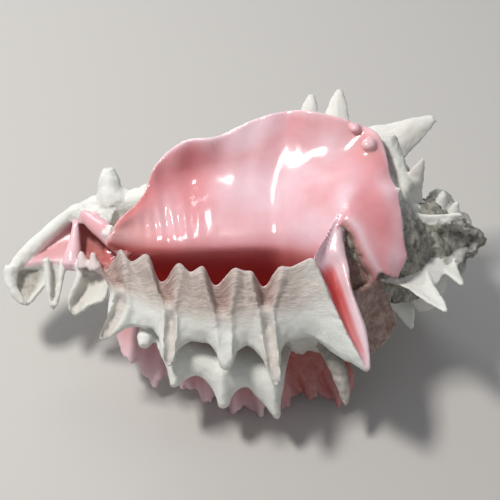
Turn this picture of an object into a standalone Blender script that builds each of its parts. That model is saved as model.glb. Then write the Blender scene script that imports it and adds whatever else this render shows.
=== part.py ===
"""Murex shell lying on its back with the mouth turned up.

The shell grew as one piece, so it is one solid. X runs along the coiling axis with the tip of
the spire at +X and the siphonal canal at -X. The outer lip is on the -Y side. Sizes below are
in millimetres.
"""
import math

import bpy
import numpy as np

MM = 0.001

# Coiling of the whorls
APEX_X = 68.0
WHORL_RATIO = 1.70
LIP_TURN = math.radians(30.0)
CAVITY_TURN = math.radians(-185.0)
SPIRE_TURN = math.radians(-1620.0)
WALL = 2.6
AXIS_TILT = math.radians(4.0)

# Section of the last whorl at the lip: distance behind the apex, and radius
SECTION = [
    (30.0, 14.0), (35.0, 21.0), (41.5, 28.5), (49.0, 31.0), (59.0, 31.5), (70.0, 30.0),
    (81.0, 26.0), (91.0, 20.0), (99.0, 14.5), (106.0, 10.0), (113.0, 7.5),
]
SPIRE_SLIM = 0.30
CORDS = [41.5, 50.0, 61.0, 67.5, 74.0, 81.0, 88.0, 95.0, 101.0]
CORD_RISE = 1.1

# Folded spines: how far the root is buried, and tip width, flare at the root and thickness
SPINE_ROOT = -0.18
SPINE_TIP = 0.26
SPINE_FLARE = 0.8
SPINE_THICK = 1.7
LAMELLA_THICK = 2.0

# Resolution of the solid
VOXEL = 0.75
RATIO = 0.045

# Height of the worn flats below the coiling axis
REST_LEVEL = -31.0


def spline(keys, values, at):
    """A smooth curve through the values given at the keys."""
    keys = np.asarray(keys, float)
    values = np.asarray(values, float)
    at = np.clip(np.asarray(at, float), keys[0], keys[-1])
    flat = values.reshape(len(keys), -1)
    slope = np.gradient(flat, keys, axis=0)
    low = np.clip(np.searchsorted(keys, at, side="right") - 1, 0, len(keys) - 2)
    step = (keys[low + 1] - keys[low])[..., None]
    t = ((at - keys[low]) / (keys[low + 1] - keys[low]))[..., None]
    a, b = flat[low], flat[low + 1]
    sa, sb = slope[low] * step, slope[low + 1] * step
    t2, t3 = t * t, t * t * t
    out = a * (2 * t3 - 3 * t2 + 1) + sa * (t3 - 2 * t2 + t) + b * (3 * t2 - 2 * t3) + sb * (t3 - t2)
    return out.reshape(at.shape + values.shape[1:])


def unit(vectors):
    return vectors / np.maximum(np.linalg.norm(vectors, axis=-1, keepdims=True), 1e-9)


GROWTH = math.log(WHORL_RATIO) / (2 * math.pi)
section_back = [p[0] for p in SECTION]
section_radius = [p[1] for p in SECTION]


def size_at(turn):
    return np.exp(GROWTH * turn)


def cords(back):
    """Low ribs that run along the whorl."""
    ribs = np.zeros_like(np.asarray(back, float))
    for place in CORDS:
        ribs = ribs + np.exp(-((back - place) / 1.9) ** 2)
    return CORD_RISE * ribs


def whorl(turn, back, lift=0.0):
    """A point on the whorl: turn is the growth angle, zero at the lip."""
    s = size_at(turn)
    lift = lift + cords(back)
    slim = 1 - SPIRE_SLIM * np.clip(1 - s / 0.55, 0, 1)
    radius = s * slim * (spline(section_back, section_radius, back) + lift)
    angle = turn + LIP_TURN
    return np.stack([APEX_X - s * back, -radius * np.cos(angle), radius * np.sin(angle)], -1)


def frame_at(turn, back):
    """Outward, along and growth directions of the whorl surface."""
    point = whorl(turn, back)
    step = 0.4
    along = unit(whorl(turn, back - step) - whorl(turn, back + step))
    grow = unit(whorl(turn + 0.02, back) - whorl(turn - 0.02, back))
    out = unit(np.cross(grow, along))
    angle = turn + LIP_TURN
    radial = np.stack([0 * angle, -np.cos(angle), np.sin(angle)], -1)
    flip = np.sign(np.sum(out * radial, -1, keepdims=True))
    return point, out * flip, along, grow


solids = []


def add_solid(points, faces):
    solids.append((np.asarray(points, float), faces))


def grid_faces(rows, columns, offset=0, turned=False):
    faces = []
    for i in range(rows - 1):
        for j in range(columns - 1):
            a = offset + i * columns + j
            quad = (a, a + 1, a + columns + 1, a + columns)
            faces.append(quad[::-1] if turned else quad)
    return faces


def sheet(front, thickness):
    """A closed plate whose back lies behind its front."""
    rows, columns = front.shape[:2]
    normal = unit(np.cross(np.gradient(front, axis=0), np.gradient(front, axis=1)))
    thick = np.broadcast_to(np.asarray(thickness, float), (rows, columns))[..., None]
    shell_sheet(front, front - normal * thick)


def shell_sheet(front, back):
    rows, columns = front.shape[:2]
    count = rows * columns
    points = np.concatenate([front.reshape(-1, 3), back.reshape(-1, 3)])
    faces = grid_faces(rows, columns) + grid_faces(rows, columns, count, True)
    ring = [(0, j) for j in range(columns)] + [(i, columns - 1) for i in range(1, rows)]
    ring += [(rows - 1, j) for j in range(columns - 2, -1, -1)] + [(i, 0) for i in range(rows - 2, 0, -1)]
    index = [i * columns + j for i, j in ring]
    for a, b in zip(index, index[1:] + index[:1]):
        faces.append((b, a, a + count, b + count))
    add_solid(points, faces)


def tube(centres, radii, sides=20):
    """A closed rod of round sections along a path."""
    centres = np.asarray(centres, float)
    tangent = unit(np.gradient(centres, axis=0))
    across = unit(np.cross(tangent, [0.31, 0.12, 0.94]))
    up = np.cross(across, tangent)
    angles = np.linspace(0, 2 * math.pi, sides, endpoint=False)
    ring = across[:, None] * np.cos(angles)[None, :, None] + up[:, None] * np.sin(angles)[None, :, None]
    points = (centres[:, None] + ring * np.asarray(radii, float)[:, None, None]).reshape(-1, 3)
    faces = []
    for i in range(len(centres) - 1):
        for j in range(sides):
            k = (j + 1) % sides
            a, b = i * sides, (i + 1) * sides
            faces.append((a + j, a + k, b + k, b + j))
    faces.append(tuple(range(sides))[::-1])
    last = (len(centres) - 1) * sides
    faces.append(tuple(last + j for j in range(sides)))
    add_solid(points, faces)


def knob(centre, radii, bumps=0.0, turn=0.0):
    """A lumpy rounded mass."""
    rings, sides = 14, 18
    points = [np.array([0, 0, 1.0])]
    for i in range(1, rings):
        for j in range(sides):
            a, b = math.pi * i / rings, 2 * math.pi * j / sides
            d = np.array([math.sin(a) * math.cos(b), math.sin(a) * math.sin(b), math.cos(a)])
            lump = 1 + bumps * math.sin(3 * b + turn) * math.sin(4 * a + 2 * turn)
            points.append(d * lump)
    points.append(np.array([0, 0, -1.0]))
    points = np.array(points) * np.asarray(radii, float) + np.asarray(centre, float)
    faces = []
    for j in range(sides):
        k = (j + 1) % sides
        faces.append((0, 1 + j, 1 + k))
        bottom = 1 + (rings - 2) * sides
        faces.append((bottom + k, bottom + j, len(points) - 1))
    for i in range(rings - 2):
        for j in range(sides):
            k = (j + 1) % sides
            a = 1 + i * sides
            faces.append((a + j, a + sides + j, a + sides + k, a + k))
    add_solid(points, faces)


def spine(root, out, along, grow, length, width, cup, bend, sway=0.0):
    """A folded spine: a trough open toward the mouth that narrows to its tip."""
    t = np.linspace(SPINE_ROOT, 1.0, 22)[:, None]
    q = np.linspace(-1, 1, 17)[None, :]
    rise = np.clip(t, 0, 1)
    taper = SPINE_TIP + (1 - SPINE_TIP) * (1 - rise) ** 0.9
    half = width * taper * (1 + SPINE_FLARE * (1 - rise) ** 4) * (1 - 0.5 * rise ** 12)
    depth = cup * half * (1 - q * q)
    back = depth + bend * length * rise ** 2
    front = (
        root
        + out * (length * t)[..., None]
        + along * (q * half + sway * length * rise ** 1.5)[..., None]
        - grow * back[..., None]
    )
    rim = unit(np.cross(np.gradient(front, axis=0), np.gradient(front, axis=1)))
    flip = np.sign(np.sum(rim * grow, -1, keepdims=True))
    body = SPINE_THICK * (0.55 + 0.45 * (1 - rise)) * (0.75 + 0.25 * (1 - q * q))
    shell_sheet(front, front - rim * flip * body[..., None])


def lamella(turn, backs, heights, lean):
    """A thin frill standing on the whorl."""
    back = np.linspace(backs[0], backs[-1], 70)
    height = spline(backs, heights, back)
    point, out, along, grow = frame_at(np.full_like(back, turn), back)
    h = np.linspace(-0.25, 1.0, 12)[:, None]
    offset = out[None] * (h * height[None])[..., None]
    offset = offset - grow[None] * (lean * np.clip(h, 0, 1) ** 1.5 * height[None])[..., None]
    front = point[None] + offset
    sheet(front, LAMELLA_THICK * (1.0 - 0.35 * np.clip(h, 0, 1)))


def build_core():
    """The solid early whorls, each section closed along the axis."""
    turns = np.arange(SPIRE_TURN, CAVITY_TURN + 0.01, math.radians(6.0))
    back = np.linspace(SECTION[0][0], SECTION[-1][0], 84)
    ring = whorl(turns[:, None], back[None, :])
    s = size_at(turns)[:, None]
    inner = np.linspace(SECTION[-1][0], SECTION[0][0], 12)[None, :]
    axis = np.stack([APEX_X - s * inner, 0 * s * inner, 0 * s * inner], -1)
    loop = np.concatenate([ring, axis], axis=1)
    rows, columns = loop.shape[:2]
    faces = []
    for i in range(rows - 1):
        for j in range(columns):
            k = (j + 1) % columns
            a, b = i * columns, (i + 1) * columns
            faces.append((a + j, a + k, b + k, b + j))
    points = loop.reshape(-1, 3)
    faces.append(tuple(range(columns))[::-1])
    faces.append(tuple((rows - 1) * columns + j for j in range(columns)))
    add_solid(points, faces)


# Toothed lip: paired teeth stand above each rib, with a deep notch between the ribs
LIP_RIBS = [
    (98.2, 3.7, 36.0, 26.0), (82.3, 3.1, 20.0, 18.0),
    (68.0, 2.6, 18.0, 17.0), (55.5, 3.4, 18.5, 18.0),
]
LIP_NOTCH = -6.0
TOOTH_WIDTH = 2.6
LIP_REACH_BACK = [30, 39, 42, 46, 50, 54, 102, 106, 109, 113]
LIP_REACH = [-12, -10, 14, 22, 18, 0, 0, 10, 14, 16]
FLUTE_DEPTH = 3.2


def lip_turn(back):
    """How far the toothed lip reaches past the last varix, in radians."""
    reach = spline(LIP_REACH_BACK, LIP_REACH, back)
    for rib, apart, behind, ahead in LIP_RIBS:
        for side, height in ((1, behind), (-1, ahead)):
            d = np.abs(back - rib - side * apart) / TOOTH_WIDTH
            reach = np.maximum(reach, height * np.exp(-d ** 1.5))
        d = np.abs(back - rib) / apart
        saddle = 0.58 * min(behind, ahead) * (1 - np.clip(d, 0, 1) ** 2)
        reach = np.where(d < 1, np.maximum(reach, saddle), reach)
    return np.radians(LIP_NOTCH + reach)


def build_wall():
    """The wall of the last whorl, open at the mouth."""
    back = np.linspace(SECTION[0][0], SECTION[-1][0], 170)
    t = np.linspace(0, 1, 60)[:, None]
    turn = CAVITY_TURN - 0.25 + (lip_turn(back)[None] - CAVITY_TURN + 0.25) * t
    near = np.clip((turn + math.radians(30)) / math.radians(35), 0, 1)
    fold = sum(np.exp(-((back - rib[0]) / 4.2) ** 2) for rib in LIP_RIBS)
    lift = near * FLUTE_DEPTH * (fold[None] - 0.5)
    flare = near ** 2 * 1.5
    outer = whorl(turn, np.broadcast_to(back, turn.shape), lift + flare)
    thick = WALL * (1.0 - 0.4 * near ** 3)
    inner = whorl(turn, np.broadcast_to(back, turn.shape), lift + flare - thick)
    shell_sheet(outer, inner)


def build_columella():
    x = np.linspace(30, -40, 30)
    radius = spline([-40, -20, 0, 15, 30], [4.5, 5.0, 6.0, 9.0, 14.0], x)
    centre = np.stack([x, 0.4 + 0 * x, -0.6 + 0 * x], -1)
    tube(centre, radius, 28)


# Parietal shield: rows from the canal end to the shoulder end, each from root to free edge
SHIELD = [
    [(-41, -2, 2), (-40, 1, 5.5), (-38.5, 3, 8), (-36.5, 5, 9.5)],
    [(-30, -4, 3), (-29, 1, 8), (-27.5, 6, 14), (-26.5, 10, 18)],
    [(-21, -4.5, 3), (-20, 3, 9), (-20, 11, 15), (-21.5, 14.8, 23)],
    [(-13, -5, 3), (-12, 4, 11), (-11.5, 12, 18), (-12, 17.5, 26)],
    [(-3, -5, 3.5), (-1, 3, 12.5), (1, 12, 20.5), (3, 20, 29)],
    [(8, -8, 7), (11, 0, 17), (13, 11, 22), (16, 22, 29.5)],
    [(17, -13, 11), (22, -4, 21), (26, 8, 24.5), (30.5, 17, 26)],
    [(22, -17, 10), (28, -9.5, 20), (33.5, 0.5, 22.5), (37.5, 8, 20.5)],
    [(24, -18.5, 9.5), (30.5, -12.5, 18.3), (35.5, -5, 20.6), (39.5, -6.5, 18.6)],
    [(25, -19.5, 8), (31, -16, 15), (36.5, -11.5, 17), (41.5, -13, 14.2)],
    [(26, -20, 4), (31, -19.5, 8), (35.5, -19, 8.5), (39.5, -18.6, 6.8)],
]


def surface_through(rows, count_across, count_along):
    grid = np.asarray(rows, float)
    a = np.linspace(0, grid.shape[0] - 1, count_across)
    b = np.linspace(0, grid.shape[1] - 1, count_along)
    first = spline(np.arange(grid.shape[0]), grid, a)
    second = spline(np.arange(grid.shape[1]), np.swapaxes(first, 0, 1), b)
    return np.swapaxes(second, 0, 1)


def build_shield():
    face = surface_through(SHIELD, 90, 40)
    normal = unit(np.cross(np.gradient(face, axis=0), np.gradient(face, axis=1)))
    toward = np.array([0, -1.0, 1.0])
    flip = np.sign(np.sum(normal * toward, -1, keepdims=True))
    t = np.linspace(0, 1, 40)[None, :]
    u = np.linspace(0, 1, 90)[:, None]
    edge = t ** 4 * (0.9 * np.sin(26 * u) + 0.7 * np.sin(47 * u + 1.0))
    face = face + normal * flip * edge[..., None]
    thick = 6.0 - 4.0 * t ** 0.6
    shell_sheet(face, face - normal * flip * thick[..., None])


def spines_on(turn, spines):
    for back, length, width, cup, bend, sway in spines:
        point, out, along, grow = frame_at(np.array(turn), np.array(float(back)))
        s = float(size_at(turn))
        spine(point, out, along, grow, length * s, width * s, cup, bend, sway)


def polar(x, radius, degrees):
    angle = np.radians(degrees)
    return np.stack(np.broadcast_arrays(x, -radius * np.cos(angle), radius * np.sin(angle)), -1).astype(float)


def spine_between(root, tip, width, cup, bend=0.18):
    """A folded spine from a root to a tip, both given as x, radius and degrees."""
    a, b = polar(*root), polar(*tip)
    out = unit(b - a)
    degrees = math.radians(root[2])
    grow = np.array([0.0, math.sin(degrees), math.cos(degrees)])
    grow = unit(grow - out * np.dot(grow, out))
    along = np.cross(grow, out)
    length = float(np.linalg.norm(b - a))
    shift = bend * length
    spine(a, unit(b - a + grow * shift), along, grow, length, width, cup, bend)


def whorl_radius(x, degrees):
    """Radius of the last whorl at a place along the axis."""
    turn = math.radians(degrees) - LIP_TURN
    size = size_at(turn)
    return size * spline(section_back, section_radius, (APEX_X - np.asarray(x, float)) / size)


def frill(base, edge, thick=2.2, ruffle=0.0, pitch=9.0, columns=130):
    """A frill from a line on the whorl (x and degrees) to a free edge (x, radius and degrees)."""
    base = np.asarray([(x, whorl_radius(x, deg) - 1.6, deg) for x, deg in base], float)
    edge = np.asarray(edge, float)
    t = np.linspace(0, 1, columns)
    low = spline(np.linspace(0, 1, len(base)), base, t)
    high = spline(np.linspace(0, 1, len(edge)), edge, t)
    h = np.linspace(0, 1, 22)[:, None, None]
    mix = low[None] * (1 - h) + high[None] * h
    wave = np.sin(2 * math.pi * high[:, 0] / pitch)
    mix[..., 2] += 2.2 * ruffle * wave[None] * h[..., 0] ** 1.5
    mix[..., 1] += 0.9 * ruffle * np.cos(2 * math.pi * high[:, 0] / pitch)[None] * h[..., 0] ** 3
    front = polar(mix[..., 0], mix[..., 1], mix[..., 2])
    sheet(front, thick * (1.0 - 0.3 * np.linspace(0, 1, 22)[:, None]))


ROW_ONE = [
    ((-30.5, 15.5, 20), (-40.2, 29.0, -10), 4.6, 0.9),
    ((-19.5, 24.0, 9), (-21.5, 41.0, -4), 3.4, 0.75),
    ((-7.0, 28.5, 9), (-6.6, 43.5, -4), 3.2, 0.35),
    ((4.0, 29.0, 9), (7.0, 49.0, -4), 3.4, 0.75),
]
ROW_TWO = [
    ((-18.0, 25.0, -8), (-19.3, 38.5, -23), 4.0, 0.3),
    ((-7.5, 29.0, -8), (-7.2, 45.2, -23), 4.0, 0.3),
    ((5.0, 29.0, -8), (7.2, 48.0, -26), 4.2, 0.3),
]


def build_rows():
    for root, tip, width, cup in ROW_ONE:
        spine_between(root, tip, width, cup)
    frill(
        [(-39, 36), (-30, 28), (-20, 18), (-10, 11), (5, 9), (20, 9)],
        [(-37, 15, 16), (-27.8, 27.5, 1), (-13, 34, 0), (-1.3, 36, 0), (10.9, 35.5, 0), (19, 34, 0)], 2.2,
    )
    for root, tip, width, cup in ROW_TWO:
        spine_between(root, tip, width, cup, 0.1)
    frill(
        [(-30, -6), (-20, -8), (-8, -8), (9, -8)],
        [(-29, 25, -12), (-24, 32, -18), (-15.9, 36, -20), (-2.9, 40.5, -21), (5, 43, -23), (10, 38, -20)], 2.2,
    )
    frill(
        [(-30, -28), (-20, -30), (-5, -34), (10, -36), (24, -36)],
        [(-36, 22, -36), (-31.5, 29, -40), (-27.8, 34.5, -42), (-22, 35.5, -42), (-17, 39, -42),
         (-12.5, 41, -42), (-3.2, 44.6, -42), (3, 44, -42), (8.7, 42.5, -42), (13.8, 40.5, -40),
         (19, 42, -41), (25.2, 43.5, -42), (26, 38, -34)],
        2.3, 1.4, 7.2,
    )


# Shoulder spine: rows of front margin, flank, keel, flank and rear margin, from mouth to tip
SHOULDER_SPINE = [
    [(15.5, -25, 21.8), (15, -29, 14), (17.5, -26, 8), (21.5, -21, 14), (24.4, -12.0, 25)],
    [(19, -28.5, 18.6), (17, -32, 9), (19, -30, 1), (23, -23, 9), (26, -20, 19.6)],
    [(22.3, -35, 12.5), (20.3, -37, 5), (21, -37, -2), (25, -30, 4), (29, -29.5, 14)],
    [(26, -39, 7.2), (24.3, -41, 2.5), (25, -41.5, -2.5), (27.5, -37, 2), (30.8, -36.5, 9)],
    [(29, -43.5, 1.5), (28.3, -44.5, 0), (28.6, -44, -1.6), (29.6, -43, -0.3), (31.2, -42.5, 3)],
    [(29.9, -45.6, -1.4), (29.9, -45.8, -1.8), (30.2, -46.0, -2.2), (30.5, -45.8, -1.8), (30.8, -45.6, -1.4)],
]


def build_shoulder_spine():
    face = surface_through(SHOULDER_SPINE, 60, 44)
    shell_sheet(face, face + thickness_away(face, (22, -28, 14), 2.2))
    fold = [
        [(25.5, -10.5, 22), (30.5, -17.5, 17.5), (34, -20.5, 13), (37.5, -22, 6)],
        [(27, -6, 13), (32, -11, 10), (35, -13, 7), (37, -14, 3)],
    ]
    face = surface_through(fold, 12, 30)
    shell_sheet(face, face + thickness_away(face, (20, -30, 20), 2.0))


def thickness_away(face, viewpoint, thick):
    """Offsets that thicken a face on the side away from a viewpoint."""
    normal = unit(np.cross(np.gradient(face, axis=0), np.gradient(face, axis=1)))
    flip = np.sign(np.sum(normal * (np.asarray(viewpoint, float) - face), -1, keepdims=True))
    return -normal * flip * thick


BACK_SPINES = [
    ((30, 23, 147), (52.5, 34.5, 146), 8.0), ((23, 18, 152), (27, 45.5, 150), 5.0),
    ((14, 17, 152), (19, 44.5, 150), 4.6), ((2, 13, 152), (3, 31, 150), 4.6),
    ((38, 14, 85), (41.5, 22.5, 85), 3.6), ((43, 12, 118), (48.5, 25, 108), 4.0),
    ((41, 13, 14), (51.8, 30.5, 7), 5.2), ((51, 6, 12), (57, 19.5, 6), 3.6),
    ((40, 13, -58), (44, 25.5, -62), 4.6), ((47, 8, 80), (58, 13.5, 74), 3.8),
    ((52, 6, 128), (54, 14, 120), 2.6), ((56, 5, 128), (57.5, 11, 120), 2.2),
]


# Earlier varices, by growth angle in degrees, with their frill heights
VARICES = [-147, -238]
VARIX_BACK = [33, 41, 53, 63, 73, 83, 93, 101]
VARIX_HEIGHT = [4, 6, 5, 6, 5, 6, 4, 2]

# Spines under the last whorl: distance behind the apex, length, width, cup, bend, sway
REST_SPINES = [
    (42.0, 26.0, 6.0, 0.8, 0.1, -0.15),
    (59.0, 18.0, 4.8, 0.7, 0.1, 0.0),
    (73.0, 20.0, 4.8, 0.7, 0.1, 0.0),
    (87.0, 29.0, 4.8, 0.7, 0.1, 0.12),
]

SPIRE_VARICES = range(-382, -1340, -60)
SPIRE_SPINE = [(41.0, 9.0, 4.6, 0.5, 0.1, 0.0)]
SPIRE_BACK = [31, 36, 41, 47]
SPIRE_HEIGHT = [3, 4.5, 5, 3]

# Glossy bumps near the shoulder end of the shield: x, y, z, size
SHIELD_BUMPS = [(34, 12.5, 23.0, 2.8), (38.5, -3, 19.5, 2.8)]


def build_varices():
    for degrees in VARICES:
        lamella(math.radians(degrees), VARIX_BACK, VARIX_HEIGHT, 0.3)
    spines_on(math.radians(VARICES[0]), REST_SPINES)
    for root, tip, width in BACK_SPINES:
        spine_between(root, tip, width, 0.4, 0.0)
    for degrees in SPIRE_VARICES:
        spines_on(math.radians(degrees), SPIRE_SPINE)
        lamella(math.radians(degrees), SPIRE_BACK, SPIRE_HEIGHT, 0.2)
    for x, y, z, size in SHIELD_BUMPS:
        knob((x, y, z), (size, size, size * 0.7))


CANAL = [
    # x, then (y, z) of the far rim, far wall, floor, near rim, curtain and lower edge
    (-35.0, (14, 12), (10, 2), (1, -5), (-6, 1), (-8, 6), (-9, 9)),
    (-42.0, (13, 8), (9, 0), (1, -6), (-5, -1), (-5, 3), (-4.5, 6)),
    (-46.0, (12, 5), (8.5, -1.5), (2, -6), (-4, -2), (-8, -6), (-12, -14.5)),
    (-49.5, (11.5, 4), (8, -2), (3, -5.5), (-1, -4), (-3, -2), (-4.5, -0.5)),
    (-53.0, (11, 2.5), (8, -2), (4, -5), (-0.5, -3.5), (-5.5, -7), (-9.5, -14)),
    (-56.8, (9.5, 0), (7, -3), (4, -5), (1, -4.5), (-1.5, -5), (-3.5, -5.5)),
    (-61.0, (7.5, -2), (5.5, -4), (3.5, -5.5), (0.5, -5.5), (-3.5, -9), (-7.5, -14.5)),
    (-65.5, (3.5, -4), (2, -5), (1, -6), (-0.5, -6.5), (-2, -8), (-3, -9.5)),
    (-67.2, (1, -4.5), (0.5, -5), (0.2, -5.5), (-0.2, -6), (-0.6, -6.6), (-1, -7.2)),
]


CANAL_SWAY = (0.0, 0.0, -0.2, -0.6, -1.4, -2.4)
PARTITION = ([(-47.5, 10, 3), (-47, 3, -2.5), (-46.6, -4, 0), (-46.4, -5.5, 1)], [1.1, 1.3, 1.9, 1.2])
CANAL_FLAPS = [(-44.5, 12, 9), (-41, 12.5, 10.5)]


def build_canal():
    rows = [[(x + dx, y, z) for dx, (y, z) in zip(CANAL_SWAY, points)] for x, *points in CANAL]
    face = surface_through(rows, 90, 44)
    thick = 2.2 + 1.6 * np.linspace(1, 0, 44)[None, :, None] ** 3
    shell_sheet(face, face + thickness_away(face, (-50, -10, 40), 1.0) * thick)
    tube(*PARTITION, 12)
    for x, y, z in CANAL_FLAPS:
        tube([(x + 1, y, z - 4), (x, y - 1.5, z - 1), (x - 0.8, y - 2.5, z + 1)], [2.0, 1.4, 0.7], 10)


# Eroded scales of earlier canals beside the present one: centre, radii, lumpiness, turn
FASCIOLE_SCALES = [
    ((-37, 14, 16), (4.6, 4.6, 7), 0.16, 0.4), ((-31, 15, 13), (3.6, 3.6, 5.5), 0.16, 0.9),
    ((-33, 15, 10), (7, 8, 8), 0.10, 1.3), ((-38, 12, 8), (8, 6, 6.5), 0.08, 0.7),
    ((-42, 12, 9), (5, 6, 6), 0.12, 2.2), ((-27, 13, 6), (8, 8, 8), 0.08, 3.0),
]
FASCIOLE_RIDGE = (
    [(-2, 5, -3), (-10, 8, -4), (-18, 9, -3), (-26, 10, -1), (-33, 10.5, 1), (-38, 11, 3), (-41, 11, 3.5)],
    [8, 9.5, 9.5, 9, 7.5, 5, 2],
)


def build_fasciole():
    for centre, radii, bumps, turn in FASCIOLE_SCALES:
        knob(centre, radii, bumps, turn)
    tube(*FASCIOLE_RIDGE)


def build_all():
    build_core()
    build_wall()
    build_columella()
    build_shield()
    build_rows()
    build_shoulder_spine()
    build_varices()
    build_canal()
    build_fasciole()


def fused_mesh():
    points, faces, offset = [], [], 0
    for p, f in solids:
        points.append(p)
        faces += [tuple(i + offset for i in face) for face in f]
        offset += len(p)
    points = np.concatenate(points)
    cos, sin = math.cos(AXIS_TILT), math.sin(AXIS_TILT)
    x = points[:, 0] * cos - points[:, 2] * sin
    z = points[:, 0] * sin + points[:, 2] * cos
    points = np.stack([x, points[:, 1], z], -1) * MM
    mesh = bpy.data.meshes.new("murex_shell")
    mesh.from_pydata(points.tolist(), [], faces)
    return mesh


def shell_material():
    material = bpy.data.materials.new("shell")
    material.use_nodes = True
    surface = material.node_tree.nodes["Principled BSDF"]
    surface.inputs["Base Color"].default_value = (0.82, 0.66, 0.62, 1.0)
    surface.inputs["Roughness"].default_value = 0.4
    return material


def rest_cutter():
    """A block below the resting level, which leaves small worn flats on the lowest tips."""
    low, high, half = (REST_LEVEL - 20.0) * MM, REST_LEVEL * MM, 0.2
    corners = [(x, y, z) for z in (low, high) for y in (-half, half) for x in (-half, half)]
    sides = [(0, 2, 3, 1), (4, 5, 7, 6), (0, 1, 5, 4), (2, 6, 7, 3), (0, 4, 6, 2), (1, 3, 7, 5)]
    mesh = bpy.data.meshes.new("rest_level")
    mesh.from_pydata(corners, [], sides)
    cutter = bpy.data.objects.new("rest_level", mesh)
    bpy.context.scene.collection.objects.link(cutter)
    cutter.hide_render = True
    cutter.display_type = "WIRE"
    return cutter


def centre_on_floor(shell, cutter):
    """Puts the middle of the shell's box over the origin, with its lowest point at height zero."""
    bpy.context.view_layer.update()
    evaluated = shell.evaluated_get(bpy.context.evaluated_depsgraph_get())
    mesh = evaluated.to_mesh()
    flat = np.empty(len(mesh.vertices) * 3, np.float32)
    mesh.vertices.foreach_get("co", flat)
    evaluated.to_mesh_clear()
    points = flat.reshape(-1, 3).astype(float)
    low, high = points.min(0), points.max(0)
    shift = [-(low[0] + high[0]) / 2, -(low[1] + high[1]) / 2, -low[2]]
    shell.location = shift
    cutter.location = shift


def main():
    for item in list(bpy.data.objects):
        bpy.data.objects.remove(item, do_unlink=True)
    build_all()
    shell = bpy.data.objects.new("murex_shell", fused_mesh())
    bpy.context.scene.collection.objects.link(shell)
    shell.data.materials.append(shell_material())
    remesh = shell.modifiers.new("fuse", "REMESH")
    remesh.mode = "VOXEL"
    remesh.voxel_size = VOXEL * MM
    remesh.use_smooth_shade = True
    smooth = shell.modifiers.new("soften", "SMOOTH")
    smooth.factor = 0.5
    smooth.iterations = 2
    thin = shell.modifiers.new("lighten", "DECIMATE")
    thin.decimate_type = "COLLAPSE"
    thin.ratio = RATIO
    thin.use_collapse_triangulate = True
    rest = shell.modifiers.new("rest flats", "BOOLEAN")
    rest.operation = "DIFFERENCE"
    rest.solver = "EXACT"
    rest.object = rest_cutter()
    centre_on_floor(shell, rest.object)


main()
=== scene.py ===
import math

import bmesh
import bpy
import numpy as np
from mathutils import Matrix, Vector


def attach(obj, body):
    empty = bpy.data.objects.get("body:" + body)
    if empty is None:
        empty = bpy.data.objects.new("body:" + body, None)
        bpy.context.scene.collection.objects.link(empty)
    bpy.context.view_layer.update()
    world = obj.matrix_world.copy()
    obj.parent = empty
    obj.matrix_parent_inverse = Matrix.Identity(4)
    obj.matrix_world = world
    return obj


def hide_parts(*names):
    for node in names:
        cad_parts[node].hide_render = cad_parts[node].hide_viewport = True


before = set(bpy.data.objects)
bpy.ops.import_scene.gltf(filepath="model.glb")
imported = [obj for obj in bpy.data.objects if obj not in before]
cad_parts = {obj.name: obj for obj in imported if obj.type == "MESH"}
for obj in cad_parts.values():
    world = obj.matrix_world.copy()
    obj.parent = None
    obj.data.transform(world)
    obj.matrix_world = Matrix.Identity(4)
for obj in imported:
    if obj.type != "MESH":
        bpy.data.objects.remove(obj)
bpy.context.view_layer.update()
print("frame loaded")

mm = 0.001

# The shell is drawn in millimetres round its coiling axis: spire tip at +X, lip side at -Y.
# A growth angle of zero is the lip edge, and earlier parts of the shell have negative angles.
coil = {
    "apex": 68.0,                       # where the coil starts on the axis
    "ratio": 1.70,                      # growth in one whorl
    "lipAngle": math.radians(30),
    "cavityTurn": math.radians(-185),   # the whorls are solid before this
    "spireTurn": math.radians(-1620),
    "slimSpire": 0.30,
    "section": [(30, 14), (35, 21), (41.5, 28.5), (49, 31), (59, 31.5), (70, 30),
                (81, 26), (91, 20), (99, 14.5), (106, 10), (113, 7.5)],
    "cordPitch": 6.8,
    "cordRise": 0.9,
    "wall": 2.6,
    "tilt": math.radians(4),            # spire end raised
    "shift": (1.124, 4.558, 31.0),      # middle over the origin, spine tips on the floor
}
sectionBack = [p[0] for p in coil["section"]]
sectionRadius = [p[1] for p in coil["section"]]
growth = math.log(coil["ratio"]) / (2 * math.pi)

# What each point of the surface is: pink glaze, red depth (partly painted shade in the mouth), worn grey (also painted
# shade in shadowed hollows), dusty lip band (also painted shade under the first row)
chalk = (0.0, 0.0, 0.0, 0.0)


def spline(keys, values, at):
    keys = np.asarray(keys, float)
    values = np.asarray(values, float)
    at = np.clip(np.asarray(at, float), keys[0], keys[-1])
    flat = values.reshape(len(keys), -1)
    slope = np.gradient(flat, keys, axis=0)
    low = np.clip(np.searchsorted(keys, at, side="right") - 1, 0, len(keys) - 2)
    step = (keys[low + 1] - keys[low])[..., None]
    t = ((at - keys[low]) / (keys[low + 1] - keys[low]))[..., None]
    start, end = flat[low], flat[low + 1]
    slopeStart, slopeEnd = slope[low] * step, slope[low + 1] * step
    t2, t3 = t * t, t * t * t
    out = start * (2 * t3 - 3 * t2 + 1) + end * (3 * t2 - 2 * t3)
    out = out + slopeStart * (t3 - 2 * t2 + t) + slopeEnd * (t3 - t2)
    return out.reshape(at.shape + values.shape[1:])


def unit(vectors):
    return vectors / np.maximum(np.linalg.norm(vectors, axis=-1, keepdims=True), 1e-9)


def smoothStep(low, high, value):
    t = np.clip((value - low) / (high - low), 0, 1)
    return t * t * (3 - 2 * t)


def bell(value, centre, width):
    return np.exp(-((value - centre) / width) ** 2)


def normalsOf(grid):
    return unit(np.cross(np.gradient(grid, axis=0), np.gradient(grid, axis=1)))


def sizeAt(turn):
    return np.exp(growth * turn)


def cordHeight(back):
    wave = np.cos(2 * math.pi * (back - 61.0) / coil["cordPitch"])
    return coil["cordRise"] * np.clip(wave, 0, 1) * smoothStep(42, 50, back)


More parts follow.
